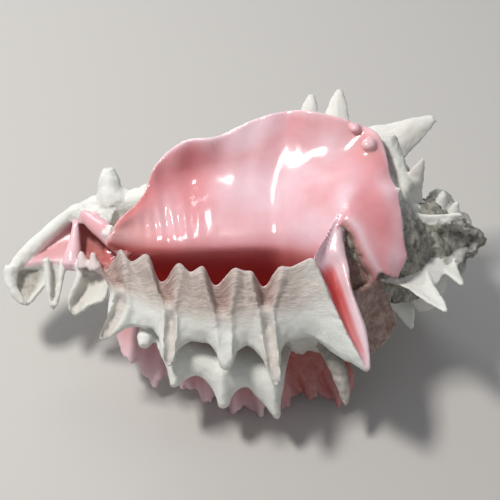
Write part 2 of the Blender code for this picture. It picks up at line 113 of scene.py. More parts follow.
def whorlPoint(turn, back, lift=0.0):
    s = sizeAt(turn)
    slim = 1 - coil["slimSpire"] * np.clip(1 - s / 0.55, 0, 1)
    radius = s * slim * (spline(sectionBack, sectionRadius, back) + lift + cordHeight(back))
    angle = turn + coil["lipAngle"]
    return np.stack([coil["apex"] - s * back, -radius * np.cos(angle), radius * np.sin(angle)], -1)


def whorlFrame(turn, back):
    # the point, with its outward, along and growth directions
    point = whorlPoint(turn, back)
    along = unit(whorlPoint(turn, back - 0.4) - whorlPoint(turn, back + 0.4))
    grow = unit(whorlPoint(turn + 0.02, back) - whorlPoint(turn - 0.02, back))
    out = unit(np.cross(grow, along))
    angle = turn + coil["lipAngle"]
    radial = np.stack([0 * angle, -np.cos(angle), np.sin(angle)], -1)
    return point, out * np.sign(np.sum(out * radial, -1, keepdims=True)), along, grow


def whorlRadius(x, degrees):
    s = sizeAt(math.radians(degrees) - coil["lipAngle"])
    return s * spline(sectionBack, sectionRadius, (coil["apex"] - np.asarray(x, float)) / s)


def polar(x, radius, degrees):
    angle = np.radians(degrees)
    parts = np.broadcast_arrays(x, -radius * np.cos(angle), radius * np.sin(angle))
    return np.stack(parts, -1).astype(float)


# Every closed solid of the shell is gathered here, then all are fused
solids = []


def addSolid(points, faces, zone, lines=None):
    # lines holds how far along the growth each point lies, in mm, and how strongly it shows
    points = np.asarray(points, float)
    zone = np.broadcast_to(np.asarray(zone, float), (len(points), 4))
    if lines is None:
        lines = np.zeros((len(points), 3))
    solids.append((points, faces, zone, np.broadcast_to(lines, (len(points), 3))))


def gridFaces(rows, columns, offset=0, turned=False):
    faces = []
    for i in range(rows - 1):
        for j in range(columns - 1):
            a = offset + i * columns + j
            quad = (a, a + 1, a + columns + 1, a + columns)
            faces.append(quad[::-1] if turned else quad)
    return faces


def addPlate(front, back, frontZone, backZone, frontLines=None, backLines=None):
    rows, columns = front.shape[:2]
    count = rows * columns
    faces = gridFaces(rows, columns) + gridFaces(rows, columns, count, True)
    ring = [(0, j) for j in range(columns)] + [(i, columns - 1) for i in range(1, rows)]
    ring += [(rows - 1, j) for j in range(columns - 2, -1, -1)]
    ring += [(i, 0) for i in range(rows - 2, 0, -1)]
    index = [i * columns + j for i, j in ring]
    for a, b in zip(index, index[1:] + index[:1]):
        faces.append((b, a, a + count, b + count))

    def spread(value, width):
        value = np.zeros(width) if value is None else np.asarray(value, float)
        return np.broadcast_to(value, (rows, columns, width)).reshape(-1, width)

    points = np.concatenate([front.reshape(-1, 3), back.reshape(-1, 3)])
    zone = np.concatenate([spread(frontZone, 4), spread(backZone, 4)])
    lines = np.concatenate([spread(frontLines, 3), spread(backLines, 3)])
    addSolid(points, faces, zone, lines)


def addSheet(front, thick, frontZone, backZone, frontLines=None, backLines=None):
    thick = np.broadcast_to(np.asarray(thick, float), front.shape[:2])[..., None]
    addPlate(front, front - normalsOf(front) * thick, frontZone, backZone, frontLines, backLines)


def thickerAway(face, viewpoint, thick):
    # offsets that thicken a face on the side away from a viewpoint
    normal = normalsOf(face)
    toward = np.asarray(viewpoint, float) - face
    return -normal * np.sign(np.sum(normal * toward, -1, keepdims=True)) * thick


def addTube(centres, radii, zone, sides=24, lines=None):
    centres = np.asarray(centres, float)
    tangent = unit(np.gradient(centres, axis=0))
    across = unit(np.cross(tangent, [0.31, 0.12, 0.94]))
    up = np.cross(across, tangent)
    angles = np.linspace(0, 2 * math.pi, sides, endpoint=False)[None, :, None]
    ring = across[:, None] * np.cos(angles) + up[:, None] * np.sin(angles)
    points = (centres[:, None] + ring * np.asarray(radii, float)[:, None, None]).reshape(-1, 3)
    faces = []
    for i in range(len(centres) - 1):
        for j in range(sides):
            k = (j + 1) % sides
            faces.append((i * sides + j, i * sides + k, (i + 1) * sides + k, (i + 1) * sides + j))
    last = (len(centres) - 1) * sides
    faces.append(tuple(range(sides))[::-1])
    faces.append(tuple(last + j for j in range(sides)))
    zone = np.broadcast_to(np.asarray(zone, float), (len(centres), 4))
    addSolid(points, faces, np.repeat(zone, sides, axis=0), lines)


def addKnob(centre, radii, bumps, turn, zone):
    rings, sides = 18, 24
    a, b = np.meshgrid(np.linspace(0, math.pi, rings), np.arange(sides) * 2 * math.pi / sides, indexing="ij")
    way = np.stack([np.sin(a) * np.cos(b), np.sin(a) * np.sin(b), np.cos(a)], -1)
    lump = 1 + bumps * np.sin(3 * b + turn) * np.sin(4 * a + 2 * turn) * np.sin(a)
    points = way * lump[..., None] * np.asarray(radii, float) + np.asarray(centre, float)
    points = np.concatenate([points[0, :1], points[1:-1].reshape(-1, 3), points[-1, :1]])
    faces = []
    bottom = 1 + (rings - 3) * sides
    for j in range(sides):
        k = (j + 1) % sides
        faces.append((0, 1 + j, 1 + k))
        faces.append((bottom + k, bottom + j, len(points) - 1))
        for i in range(rings - 3):
            start = 1 + i * sides
            faces.append((start + j, start + sides + j, start + sides + k, start + k))
    addSolid(points, faces, zone)


def surfaceThrough(rows, countAcross, countAlong):
    grid = np.asarray(rows, float)
    across = np.linspace(0, grid.shape[0] - 1, countAcross)
    along = np.linspace(0, grid.shape[1] - 1, countAlong)
    first = spline(np.arange(grid.shape[0]), grid, across)
    second = spline(np.arange(grid.shape[1]), np.swapaxes(first, 0, 1), along)
    return np.swapaxes(second, 0, 1)


# Small helpers for node trees
def newTree(name, sockets):
    tree = bpy.data.node_groups.new(name, "GeometryNodeTree")
    face = tree.interface
    face.new_socket(name="Geometry", in_out="INPUT", socket_type="NodeSocketGeometry")
    for title, kind in sockets:
        face.new_socket(name=title, in_out="INPUT", socket_type="NodeSocket" + kind)
    face.new_socket(name="Geometry", in_out="OUTPUT", socket_type="NodeSocketGeometry")
    return tree, tree.nodes.new("NodeGroupInput").outputs


def addNode(tree, kind, values=None, **settings):
    node = tree.nodes.new(kind)
    for key, value in settings.items():
        setattr(node, key, value)
    for key, value in (values or {}).items():
        if isinstance(value, bpy.types.NodeSocket):
            tree.links.new(value, node.inputs[key])
        else:
            node.inputs[key].default_value = value
    return node


def calc(tree, operation, first, second=0.0, clamp=False):
    node = addNode(tree, "ShaderNodeMath", {0: first, 1: second}, operation=operation, use_clamp=clamp)
    return node.outputs[0]


def sumOf(tree, *terms):
    total = terms[0]
    for term in terms[1:]:
        total = calc(tree, "ADD", total, term)
    return total


def productOf(tree, *terms):
    total = terms[0]
    for term in terms[1:]:
        total = calc(tree, "MULTIPLY", total, term)
    return total


def mapRange(tree, value, fromLow, fromHigh, toLow=0.0, toHigh=1.0, kind="LINEAR"):
    node = addNode(tree, "ShaderNodeMapRange", {"Value": value, "From Min": fromLow, "From Max": fromHigh,
                                                "To Min": toLow, "To Max": toHigh}, interpolation_type=kind)
    return node.outputs["Result"]


def finishTree(tree, given, geometry):
    realized = addNode(tree, "GeometryNodeRealizeInstances", {"Geometry": geometry})
    painted = addNode(tree, "GeometryNodeSetMaterial", {"Geometry": realized.outputs[0], "Material": given["Material"]})
    output = tree.nodes.new("NodeGroupOutput")
    tree.links.new(painted.outputs[0], output.inputs[0])
    return tree


def runTree(name, tree, values, mesh=None):
    # the tree's inputs are set by identifier, then its result is taken as a plain mesh
    holder = bpy.data.objects.new(name, mesh or bpy.data.meshes.new(name))
    bpy.context.scene.collection.objects.link(holder)
    modifier = holder.modifiers.new(name, "NODES")
    modifier.node_group = tree
    for item in tree.interface.items_tree:
        if item.in_out == "INPUT" and item.name in values:
            modifier[item.identifier] = values[item.name]
    return plainMesh(holder)


def plainMesh(holder):
    bpy.context.view_layer.update()
    evaluated = holder.evaluated_get(bpy.context.evaluated_depsgraph_get())
    result = bpy.data.meshes.new_from_object(evaluated)
    bpy.data.objects.remove(holder, do_unlink=True)
    return result


def takeSolid(mesh):
    # a mesh from a node tree joins the solids, with the zone and lines it stored
    points = np.empty(len(mesh.vertices) * 3)
    mesh.vertices.foreach_get("co", points)
    zone = np.empty(len(mesh.vertices) * 4)
    mesh.attributes["zone"].data.foreach_get("color", zone)
    lines = np.empty(len(mesh.vertices) * 3)
    mesh.attributes["lines"].data.foreach_get("vector", lines)
    faces = [tuple(face.vertices) for face in mesh.polygons]
    addSolid(points.reshape(-1, 3), faces, zone.reshape(-1, 4), lines.reshape(-1, 3))


def storeZone(tree, geometry, pink, red, worn, band, lines):
    color = tree.nodes.new("FunctionNodeCombineColor")
    for key, value in {"Red": pink, "Green": red, "Blue": worn, "Alpha": band}.items():
        if isinstance(value, bpy.types.NodeSocket):
            tree.links.new(value, color.inputs[key])
        else:
            color.inputs[key].default_value = value
    first = addNode(tree, "GeometryNodeStoreNamedAttribute", data_type="FLOAT_COLOR", domain="POINT")
    first.inputs["Name"].default_value = "zone"
    tree.links.new(geometry, first.inputs["Geometry"])
    tree.links.new(color.outputs[0], first.inputs["Value"])
    second = addNode(tree, "GeometryNodeStoreNamedAttribute", data_type="FLOAT_VECTOR", domain="POINT")
    second.inputs["Name"].default_value = "lines"
    tree.links.new(first.outputs[0], second.inputs["Geometry"])
    tree.links.new(lines, second.inputs["Value"])
    return second.outputs[0]


# The early whorls: one coil whose section grows along a spiral round the axis
def whorlTree():
    tree, given = newTree("whorlCoil", [
        ("Apex", "Float"), ("Growth Ratio", "Float"), ("Start Turn", "Float"), ("End Turn", "Float"),
        ("Lip Angle", "Float"), ("Slim Spire", "Float"), ("Cord Rise", "Float"), ("Cord Pitch", "Float"),
        ("Rows", "Int"), ("Columns", "Int"), ("Material", "Material"),
    ])
    grid = addNode(tree, "GeometryNodeMeshGrid", {"Size X": 1.0, "Size Y": 1.0,
                                                  "Vertices X": given["Rows"], "Vertices Y": given["Columns"]})
    place = addNode(tree, "ShaderNodeSeparateXYZ", {0: tree.nodes.new("GeometryNodeInputPosition").outputs[0]})
    u = calc(tree, "ADD", place.outputs["X"], 0.5)
    v = calc(tree, "ADD", place.outputs["Y"], 0.5)
    # the first and last rows close the ends: they fall together on the axis
    rowStep = calc(tree, "DIVIDE", 1.0, calc(tree, "SUBTRACT", given["Rows"], 1.0))
    turn = mapRange(tree, u, rowStep, calc(tree, "SUBTRACT", 1.0, rowStep), given["Start Turn"], given["End Turn"])
    fromEnd = calc(tree, "MINIMUM", u, calc(tree, "SUBTRACT", 1.0, u))
    inside = calc(tree, "GREATER_THAN", fromEnd, calc(tree, "MULTIPLY", rowStep, 0.5))
    size = calc(tree, "POWER", given["Growth Ratio"], calc(tree, "DIVIDE", turn, 2 * math.pi))
    # most of the columns follow the section, the last few run back along the axis
    first, last = sectionBack[0], sectionBack[-1]
    outward = mapRange(tree, v, 0.0, 0.9, first, last)
    home = mapRange(tree, v, 0.9, 1.0, 0.0, last - first)
    back = calc(tree, "SUBTRACT", outward, home)
    onSection = productOf(tree, calc(tree, "LESS_THAN", v, 0.9001), calc(tree, "GREATER_THAN", v, 0.0001), inside)
    curve = addNode(tree, "ShaderNodeFloatCurve", {"Value": mapRange(tree, back, first, last)})
    points = curve.mapping.curves[0].points
    for place, (x, radius) in enumerate(coil["section"]):
        x, y = (x - first) / (last - first), radius / 40.0
        if place in (0, len(coil["section"]) - 1):
            points[0 if place == 0 else -1].location = (x, y)
        else:
            points.new(x, y)
    curve.mapping.update()
    swing = calc(tree, "DIVIDE", calc(tree, "SUBTRACT", back, 61.0), given["Cord Pitch"])
    cord = calc(tree, "MAXIMUM", calc(tree, "COSINE", calc(tree, "MULTIPLY", swing, 2 * math.pi)), 0.0)
    cord = productOf(tree, cord, given["Cord Rise"], mapRange(tree, back, 42.0, 50.0, kind="SMOOTHSTEP"))
    small = calc(tree, "SUBTRACT", 1.0, calc(tree, "DIVIDE", size, 0.55), clamp=True)
    slim = calc(tree, "SUBTRACT", 1.0, calc(tree, "MULTIPLY", given["Slim Spire"], small))
    radius = sumOf(tree, calc(tree, "MULTIPLY", curve.outputs[0], 40.0), cord)
    radius = productOf(tree, radius, size, slim, onSection)
    angle = calc(tree, "ADD", turn, given["Lip Angle"])
    level = addNode(tree, "ShaderNodeMix", {"Factor": inside, "A": 70.0, "B": back})
    x = calc(tree, "SUBTRACT", given["Apex"], calc(tree, "MULTIPLY", size, level.outputs["Result"]))
    y = productOf(tree, radius, calc(tree, "COSINE", angle), -1.0)
    z = calc(tree, "MULTIPLY", radius, calc(tree, "SINE", angle))
    target = addNode(tree, "ShaderNodeCombineXYZ", {"X": x, "Y": y, "Z": z})
    # worn grey-brown on the spire; where the band reaches the whorl beside the shield it is also painted shade
    wornBand = mapRange(tree, size, 0.69, 0.57, kind="SMOOTHSTEP")
    lines = addNode(tree, "ShaderNodeCombineXYZ", {"X": productOf(tree, turn, size, 28.0), "Y": back, "Z": 0.6})
    stored = storeZone(tree, grid.outputs["Mesh"], 0.0, 0.0, wornBand, 0.0, lines.outputs[0])
    moved = addNode(tree, "GeometryNodeSetPosition", {"Geometry": stored, "Position": target.outputs[0]})
    merged = addNode(tree, "GeometryNodeMergeByDistance", {"Geometry": moved.outputs[0], "Distance": 0.0005})
    return finishTree(tree, given, merged.outputs[0])


# Folded spines: one trough shape, repeated wherever a spine stands
def spineTree():
    tree, given = newTree("foldedSpines", [
        ("Cup", "Float"), ("Bend", "Float"), ("Tip Width", "Float"), ("Root Flare", "Float"),
        ("Thickness", "Float"), ("Worn", "Float"), ("Trough Band", "Float"), ("Material", "Material"),
    ])
    grid = addNode(tree, "GeometryNodeMeshGrid", {"Size X": 1.0, "Size Y": 1.0, "Vertices X": 30, "Vertices Y": 19})
    place = addNode(tree, "ShaderNodeSeparateXYZ", {0: tree.nodes.new("GeometryNodeInputPosition").outputs[0]})
    t = mapRange(tree, place.outputs["X"], -0.5, 0.5, -0.18, 1.0)
    q = calc(tree, "MULTIPLY", place.outputs["Y"], 2.0)
    rise = calc(tree, "MAXIMUM", t, 0.0)
    fall = calc(tree, "SUBTRACT", 1.0, rise)
    taper = mapRange(tree, calc(tree, "POWER", fall, 0.9), 0.0, 1.0, given["Tip Width"], 1.0)
    flare = calc(tree, "ADD", 1.0, productOf(tree, given["Root Flare"], calc(tree, "POWER", fall, 4.0)))
    blunt = calc(tree, "SUBTRACT", 1.0, calc(tree, "MULTIPLY", calc(tree, "POWER", rise, 12.0), 0.5))
    half = productOf(tree, taper, flare, blunt)
    round_ = calc(tree, "SUBTRACT", 1.0, calc(tree, "MULTIPLY", q, q))
    depth = productOf(tree, given["Cup"], half, round_)
    depth = sumOf(tree, depth, productOf(tree, given["Bend"], rise, rise))
    shape = addNode(tree, "ShaderNodeCombineXYZ", {"X": calc(tree, "MULTIPLY", q, half),
                                                   "Y": calc(tree, "MULTIPLY", depth, -1.0), "Z": t})
    body = productOf(tree, mapRange(tree, rise, 0.0, 1.0, 1.0, 0.55), mapRange(tree, round_, 0.0, 1.0, 0.75, 1.0))
    body = calc(tree, "MULTIPLY", body, given["Thickness"])
    folded = addNode(tree, "GeometryNodeSetPosition", {"Geometry": grid.outputs["Mesh"], "Position": shape.outputs[0]})
    kept = addNode(tree, "GeometryNodeStoreNamedAttribute", data_type="FLOAT", domain="POINT")
    kept.inputs["Name"].default_value = "body"
    tree.links.new(grid.outputs["Mesh"], kept.inputs["Geometry"])
    tree.links.new(body, kept.inputs["Value"])
    tree.links.new(kept.outputs[0], folded.inputs["Geometry"])

    def named(name, kind="FLOAT_VECTOR"):
        node = addNode(tree, "GeometryNodeInputNamedAttribute", data_type=kind)
        node.inputs["Name"].default_value = name
        return node.outputs["Attribute"]

    turned = addNode(tree, "FunctionNodeAxesToRotation", {"Primary Axis": named("outWay"),
                                                          "Secondary Axis": named("growWay")},
                     primary_axis="Z", secondary_axis="Y")
    spread = addNode(tree, "GeometryNodeInstanceOnPoints", {"Points": given["Geometry"], "Instance": folded.outputs[0],
                                                            "Rotation": turned.outputs[0], "Scale": named("spineSize")})
    real = addNode(tree, "GeometryNodeRealizeInstances", {"Geometry": spread.outputs[0]})
    # a wall is given to each trough by pushing a second skin out behind it
    skin = addNode(tree, "GeometryNodeCaptureAttribute", {0: real.outputs[0]}, domain="POINT")
    skin.capture_items.new("VECTOR", "Normal")
    tree.links.new(tree.nodes.new("GeometryNodeInputNormal").outputs[0], skin.inputs[1])
    thick = addNode(tree, "GeometryNodeExtrudeMesh", {"Mesh": skin.outputs[0], "Offset Scale": 0.0, "Individual": False})
    outward = addNode(tree, "ShaderNodeVectorMath", {0: skin.outputs[1]}, operation="SCALE")
    tree.links.new(named("body", "FLOAT"), outward.inputs["Scale"])
    pushed = addNode(tree, "GeometryNodeSetPosition", {"Geometry": thick.outputs["Mesh"],
                                                       "Selection": thick.outputs["Top"], "Offset": outward.outputs[0]})
    flipped = addNode(tree, "GeometryNodeFlipFaces", {0: real.outputs[0]})
    lines = addNode(tree, "ShaderNodeCombineXYZ", {"X": 0.0, "Y": 0.0, "Z": 0.0}).outputs[0]
    outside = storeZone(tree, pushed.outputs[0], 0.0, 0.0, given["Worn"], 0.0, lines)
    inside = storeZone(tree, flipped.outputs[0], 0.0, 0.0, given["Worn"], given["Trough Band"], lines)
    joined = tree.nodes.new("GeometryNodeJoinGeometry")
    tree.links.new(outside, joined.inputs[0])
    tree.links.new(inside, joined.inputs[0])
    merged = addNode(tree, "GeometryNodeMergeByDistance", {"Geometry": joined.outputs[0], "Distance": 0.0005})
    return finishTree(tree, given, merged.outputs[0])


def addSpines(name, tree, places, cup, bend, worn=0.0):
    # each place is a root, an outward and a growth direction, a length and a half width
    mesh = bpy.data.meshes.new(name)
    mesh.from_pydata([tuple(p[0]) for p in places], [], [])
    columns = {"outWay": [p[1] for p in places], "growWay": [p[2] for p in places],
               "spineSize": [(p[4], p[4], p[3]) for p in places]}
    for key, value in columns.items():
        attribute = mesh.attributes.new(key, "FLOAT_VECTOR", "POINT")
        attribute.data.foreach_set("vector", np.asarray(value, np.float32).ravel())
    takeSolid(runTree(name, tree, {
        "Cup": cup, "Bend": bend, "Tip Width": spines["tipWidth"], "Root Flare": spines["rootFlare"],
        "Thickness": spines["thickness"], "Worn": worn, "Trough Band": spines["troughBand"], "Material": glaze,
    }, mesh))


def spineOnWhorl(degrees, back, length, width, sway=0.0):
    turn = math.radians(degrees)
    point, out, along, grow = whorlFrame(np.array(turn), np.array(float(back)))
    s = float(sizeAt(turn))
    return point, unit(out + along * sway), grow, length * s, width * s


def spineBetween(root, tip, width, bend=0.0):
    # root and tip are given as x, radius and degrees round the axis
    start, end = polar(*root), polar(*tip)
    out = unit(end - start)
    degrees = math.radians(root[2])
    grow = np.array([0.0, math.sin(degrees), math.cos(degrees)])
    grow = unit(grow - out * np.dot(grow, out))
    length = float(np.linalg.norm(end - start))
    return start, unit(end - start + grow * bend * length), grow, length, width


def addLamella(degrees, backs, heights, lean, worn=0.0):
    turn = math.radians(degrees)
    back = np.linspace(backs[0], backs[-1], 110)
    height = spline(backs, heights, back) * sizeAt(turn)
    point, out, along, grow = whorlFrame(np.full_like(back, turn), back)
    h = np.linspace(-0.25, 1.0, 16)[:, None]
    rise = np.clip(h, 0, 1)
    offset = out[None] * (h * height[None])[..., None]
    offset = offset - grow[None] * (lean * rise ** 1.5 * height[None])[..., None]
    lines = np.stack(np.broadcast_arrays(rise * height[None] * 1.5, back[None], 0.6), -1)
    zone = (0, 0, worn, 0.06)
    addSheet(point[None] + offset, (0.7 + 1.6 * sizeAt(turn)) * (1.0 - 0.35 * rise), zone, zone, lines, lines)


# The wall of the last whorl ends on a plain line, and the lip stands on it
lip = {
    "edgeTurn": math.radians(-14),
    "toward": np.array([0.0, -0.707, 0.707]),    # the way the lip and its spines face
    # columns from the canal end to the shoulder: tooth or notch, root of the spines, lower edge
    "columns": [
        [(-41.2, -11.4, 11.2), (-37.6, -17.7, 5.2), (-37, -19, 2.6)],
        [(-38.5, -14.6, 9.4), (-33.9, -20.6, 5.3), (-33.6, -22.4, 2.1)],
        [(-35.8, -12.9, 12.4), (-31, -22.4, 5.8), (-30.9, -25.9, 0.9)],
        [(-33.7, -11.8, 14.6), (-28.8, -23.9, 6.1), (-29, -27.9, 0.6)],
        [(-30.8, -15.5, 13.2), (-26.3, -25.6, 6.1), (-26.7, -28.9, 1.2)],
        [(-26.4, -15.7, 16.1), (-23.9, -27, 6.3), (-24.6, -29.7, 1.1)],
        [(-23.2, -22.3, 12.1), (-20.6, -28.9, 6.6), (-21.1, -31.3, 0.7)],
        [(-17.4, -20.9, 17.4), (-16.3, -30.5, 6.5), (-16.3, -33.2, 0.5)],
        [(-14.6, -23.2, 16.1), (-13.7, -31.5, 6.5), (-13.1, -34.2, 0.6)],
        [(-11.3, -22.7, 17.7), (-10.8, -32.2, 6.4), (-10.5, -34.6, 0.5)],
        [(-8.1, -27.1, 14.5), (-6.4, -32.8, 6), (-6.6, -35.5, 0)],
        [(-2.7, -24.2, 17.9), (-2.5, -33.1, 6), (-2.6, -35.8, 0.1)],
        [(-0.3, -25, 17.4), (-0.6, -32.9, 6.4), (-0.8, -35.8, 0.3)],
        [(1.7, -25.2, 17.4), (1.5, -32.6, 6.8), (1.6, -35.8, 0.1)],
        [(4.1, -28.3, 14.5), (4.9, -32.5, 7.1), (5.3, -35.6, 0)],
        [(9, -24.8, 18), (9.9, -32.4, 7.5), (9.2, -35.2, 0.1)],
        [(11.9, -24.9, 17.9), (12.8, -32.2, 7.8), (12.1, -34.8, 0.6)],
        [(15.1, -23.9, 18.9), (15.7, -32.3, 8.5), (15.6, -34.7, 1.4)],
        [(16.9, -23.4, 19.4), (18.3, -32.6, 9), (18.9, -36.5, 0.5)],
        [(18.2, -23.8, 19), (20.9, -33, 9.6), (23.9, -40.9, -0.8)],
        [(18.9, -24.9, 17.8), (23.2, -33.6, 9.8), (30.1, -45.4, -1.5)],
    ],
    # each spine: place of its root, half width there, tip, depth of its channel,
    # how far off the teeth left and right of it are, half width of its tip
    "spines": [
        (-33.9, 4.8, (-40.3, -29.3, -3.0), 2.2, 3.6, 5.1, 2.0), (-20.6, 4.8, (-21.5, -40.6, -1.1), 2.2, 3.3, 4.3, 1.6),
        (-6.4, 5.4, (-6.4, -42.3, -1.4), 0.0, 4.4, 3.9, 1.9), (4.9, 5.2, (6.8, -47.6, -2.5), 1.9, 3.4, 5.0, 1.7),
    ],
    "notches": [-26.3, -13.7, -0.6],
    "flute": 2.6,
    "margin": 1.1,
    "crest": 0.3,
    "roll": 0.5,
    "thick": (1.7, 4.6, 3.0),
}

# The second row of spines below the lip, one whorl part earlier
secondRow = {
    "toward": np.array([0.0, -0.85, 0.53]),
    "columns": [
        [(-27.3, -21, -3.1), (-25.2, -28, -6.3), (-23.2, -32.9, -9.3)],
        [(-24.5, -22.7, -3), (-21.9, -29.9, -6.4), (-21.8, -35.4, -9.9)],
        [(-20.4, -24.8, -3.4), (-18.1, -31.6, -6.4), (-18.4, -37, -10.7)],
        [(-15.1, -25.6, -4.5), (-14.6, -32.8, -6.8), (-14.9, -36.4, -10.4)],
        [(-11.1, -25.9, -5.2), (-11.7, -34.1, -7.3), (-11.5, -37.7, -12)],
        [(-7.9, -26.3, -5.8), (-7.8, -34.8, -8.3), (-8.1, -38.9, -13.3)],
        [(-4.2, -26.7, -6.4), (-3.8, -35.2, -8.9), (-4.7, -38.9, -13.6)],
        [(-0.5, -27.1, -7.1), (-0.1, -35.6, -9.6), (-1.5, -38.7, -13.6)],
        [(3.8, -27.5, -7.7), (3.5, -36.3, -10.6), (2.1, -40.2, -15.4)],
        [(7.5, -28, -8.6), (6.4, -37.1, -11.5), (5.5, -40.7, -16.2)],
        [(10.6, -28.6, -9.4), (8.8, -35, -11.7), (7.8, -37.5, -14)],
    ],
    "spines": [
        (-20.0, 3.5, (-21.1, -38.5, -12.0), 0.0, 3.0, 3.0, 1.6), (-7.8, 5.5, (-8.4, -42.0, -17.4), 0.0, 3.0, 3.0, 1.8),
        (5.0, 5.0, (5.8, -43.9, -20.3), 0.0, 3.0, 3.0, 1.6),
    ],
    "notches": [],
    "flute": 0.0,
    "margin": 0.0,
    "crest": 1.5,
    "roll": 2.2,
    "thick": (2.5, 4.0, 3.2),
}


def addDrape(drape, zoneAt, backZoneAt):
    # a sheet that hangs from a toothed edge and runs out into folded spines
    columns = np.asarray(drape["columns"], float)
    key = columns[:, 1, 0]
    at = np.linspace(key[0], key[-1], 460)
    top, root, low = (spline(key, columns[:, i], at) for i in range(3))
    v = np.linspace(0, 1, 110)[:, None]
    narrowing = smoothStep(0.0, 0.44, v)
    relief = np.zeros((110, 460))
    flute = np.zeros((110, 460))
    for place, half, tip, depth, left, right, finger in drape["spines"]:
        # the spine's half width at each part of its length, turned round to give the length
        part = np.linspace(0, 1, 200)
        width = (finger + (half - finger) * (1 - part) ** 3.4) * np.sqrt(1 - part ** 7)
        g = np.interp(np.abs(at - place), width[::-1], part[::-1])[:, None]
        side = np.stack([at - place, 0 * at, 0 * at], -1)
        low = low * (1 - g) + (np.asarray(tip) + side) * g
        # a deep flute between two teeth closes above the spine, then opens as its channel
        reach = np.where(at < place, left, right)[None] * (1 - narrowing) + finger * narrowing
        d = (at - place)[None] / reach
        deep = drape["flute"] * (1 - smoothStep(0.26, 0.42, v)) + depth * smoothStep(0.44, 0.56, v)
        shape = np.exp(-(1.3 * d) ** 4)
        flute = np.maximum(flute, shape * deep / 2.4)
        relief = relief - deep * shape + drape["margin"] * bell(np.abs(d), 1.08, 0.34) * smoothStep(0.0, 0.10, v)
        relief = relief + drape["crest"] * bell(at, place, 1.7)[None] * smoothStep(0.15, 0.6, v)
    for place in drape["notches"]:
        relief = relief - 0.8 * bell(at, place, 0.9)[None] * (1 - smoothStep(0.2, 0.5, v))
    relief = relief + drape["roll"] * np.sin(math.pi * np.clip(v, 0, 1)) ** 0.7
    body = spline([0, 0.5, 1], np.stack([top, root, low]), v[:, 0])
    edge = smoothStep(0.93, 1.0, v)
    toward = drape["toward"]
    front = body + toward * (relief - 1.0 * edge)[..., None]
    thick = spline([0, 0.5, 1], drape["thick"], v) * (1 - 0.3 * edge)
    back = body + toward * (np.minimum(relief, 0) * (1 - smoothStep(0.3, 0.5, v)) - thick)[..., None]
    lines = np.stack(np.broadcast_arrays(v * 26.0, at[None], 1.0 - 0.65 * smoothStep(0.3, 0.7, v)), -1)
    addPlate(front, back, zoneAt(v, flute, at[None]), backZoneAt(v, flute), lines, None)


def lipFront(v, flute, at):
    band = (1 - smoothStep(0.28, 0.60, v)) * (0.66 + 0.34 * np.clip(flute, 0, 1)) * (1 - 0.55 * smoothStep(10, 20, at))
    cream = np.clip(flute, 0, 1) * smoothStep(0.44, 0.56, v)
    return np.stack(np.broadcast_arrays(0.14 * band, 0 * v, 0.16 * cream, np.maximum(band, 0.42 * cream)), -1)


def lipBack(v, flute):
    inside = 1 - smoothStep(0.45, 0.6, v)
    depth = (0.15 + 0.7 * smoothStep(0.02, 0.3, v)) * inside
    return np.stack(np.broadcast_arrays(0.9 * inside, depth, 0 * v, 0.1 + 0 * flute), -1)


def rowFront(v, flute, at):
    # the top of the second row, under the first row, takes the dusty band colour as painted shade
    return np.stack(np.broadcast_arrays(0 * v, 0 * v, 0 * v, 0.5 * (1 - smoothStep(0.1, 0.35, v)) + 0 * at), -1)


def rowBack(v, flute):
    return np.stack(np.broadcast_arrays(0.7 + 0 * v, 0.45 + 0 * v, 0 * v, 0.3 + 0 * flute), -1)


def buildWall():
    back = np.linspace(sectionBack[0], sectionBack[-1], 200)
    t = np.linspace(0, 1, 110)[:, None]
    start = coil["cavityTurn"] - 0.25
    turn = start + (lip["edgeTurn"] - start) * t + 0 * back[None]
    backs = np.broadcast_to(back, turn.shape)
    outer = whorlPoint(turn, backs)
    inner = whorlPoint(turn, backs, -coil["wall"])
    lines = np.stack([turn * 28.0, backs, 0.5 + 0 * turn], -1)
    # inside, the glaze deepens to red away from the lip: partly its own colour, partly painted shade of the deep mouth
    depth = smoothStep(math.radians(-4), math.radians(20), lip["edgeTurn"] - turn)
    innerZone = np.stack([0.95 + 0 * depth, 0.5 + 0.5 * depth, 0 * depth, 0 * depth], -1)
    # painted shade: the wall beside the shoulder spine, outside and in, is coloured dark red-brown where it lies in
    # shadow
    paintedShade = (1 - smoothStep(44, 50, backs)) * smoothStep(math.radians(-100), math.radians(-50), turn)
    innerZone = innerZone * (1 - paintedShade[..., None]) + np.array([0.32, 1.0, 0.9, 0.0]) * paintedShade[..., None]
    outerZone = np.stack([0.32 * paintedShade, 1.0 * paintedShade, 0.9 * paintedShade, 0 * paintedShade], -1)
    addPlate(outer, inner, outerZone, innerZone, lines, None)


def buildColumella():
    # the glaze rests on a thick bed, so that no light passes behind it
    bed = np.array([(10, 8, 10), (0, 8, 8.5), (-10, 8, 7.5), (-20, 8, 6.5), (-29, 8.5, 5.5)], float)
    addTube(bed, [5.0, 5.5, 5.5, 5.5, 5.0], chalk, 24)
    x = np.linspace(30, -40, 40)
    radius = spline([-40, -20, 0, 15, 30], [4.5, 5.0, 6.0, 9.0, 14.0], x)
    centre = np.stack([x, 0.4 + 0 * x, -0.6 + 0 * x], -1)
    addTube(centre, radius, (1.0, 0.65, 0.0, 0.0), 36)


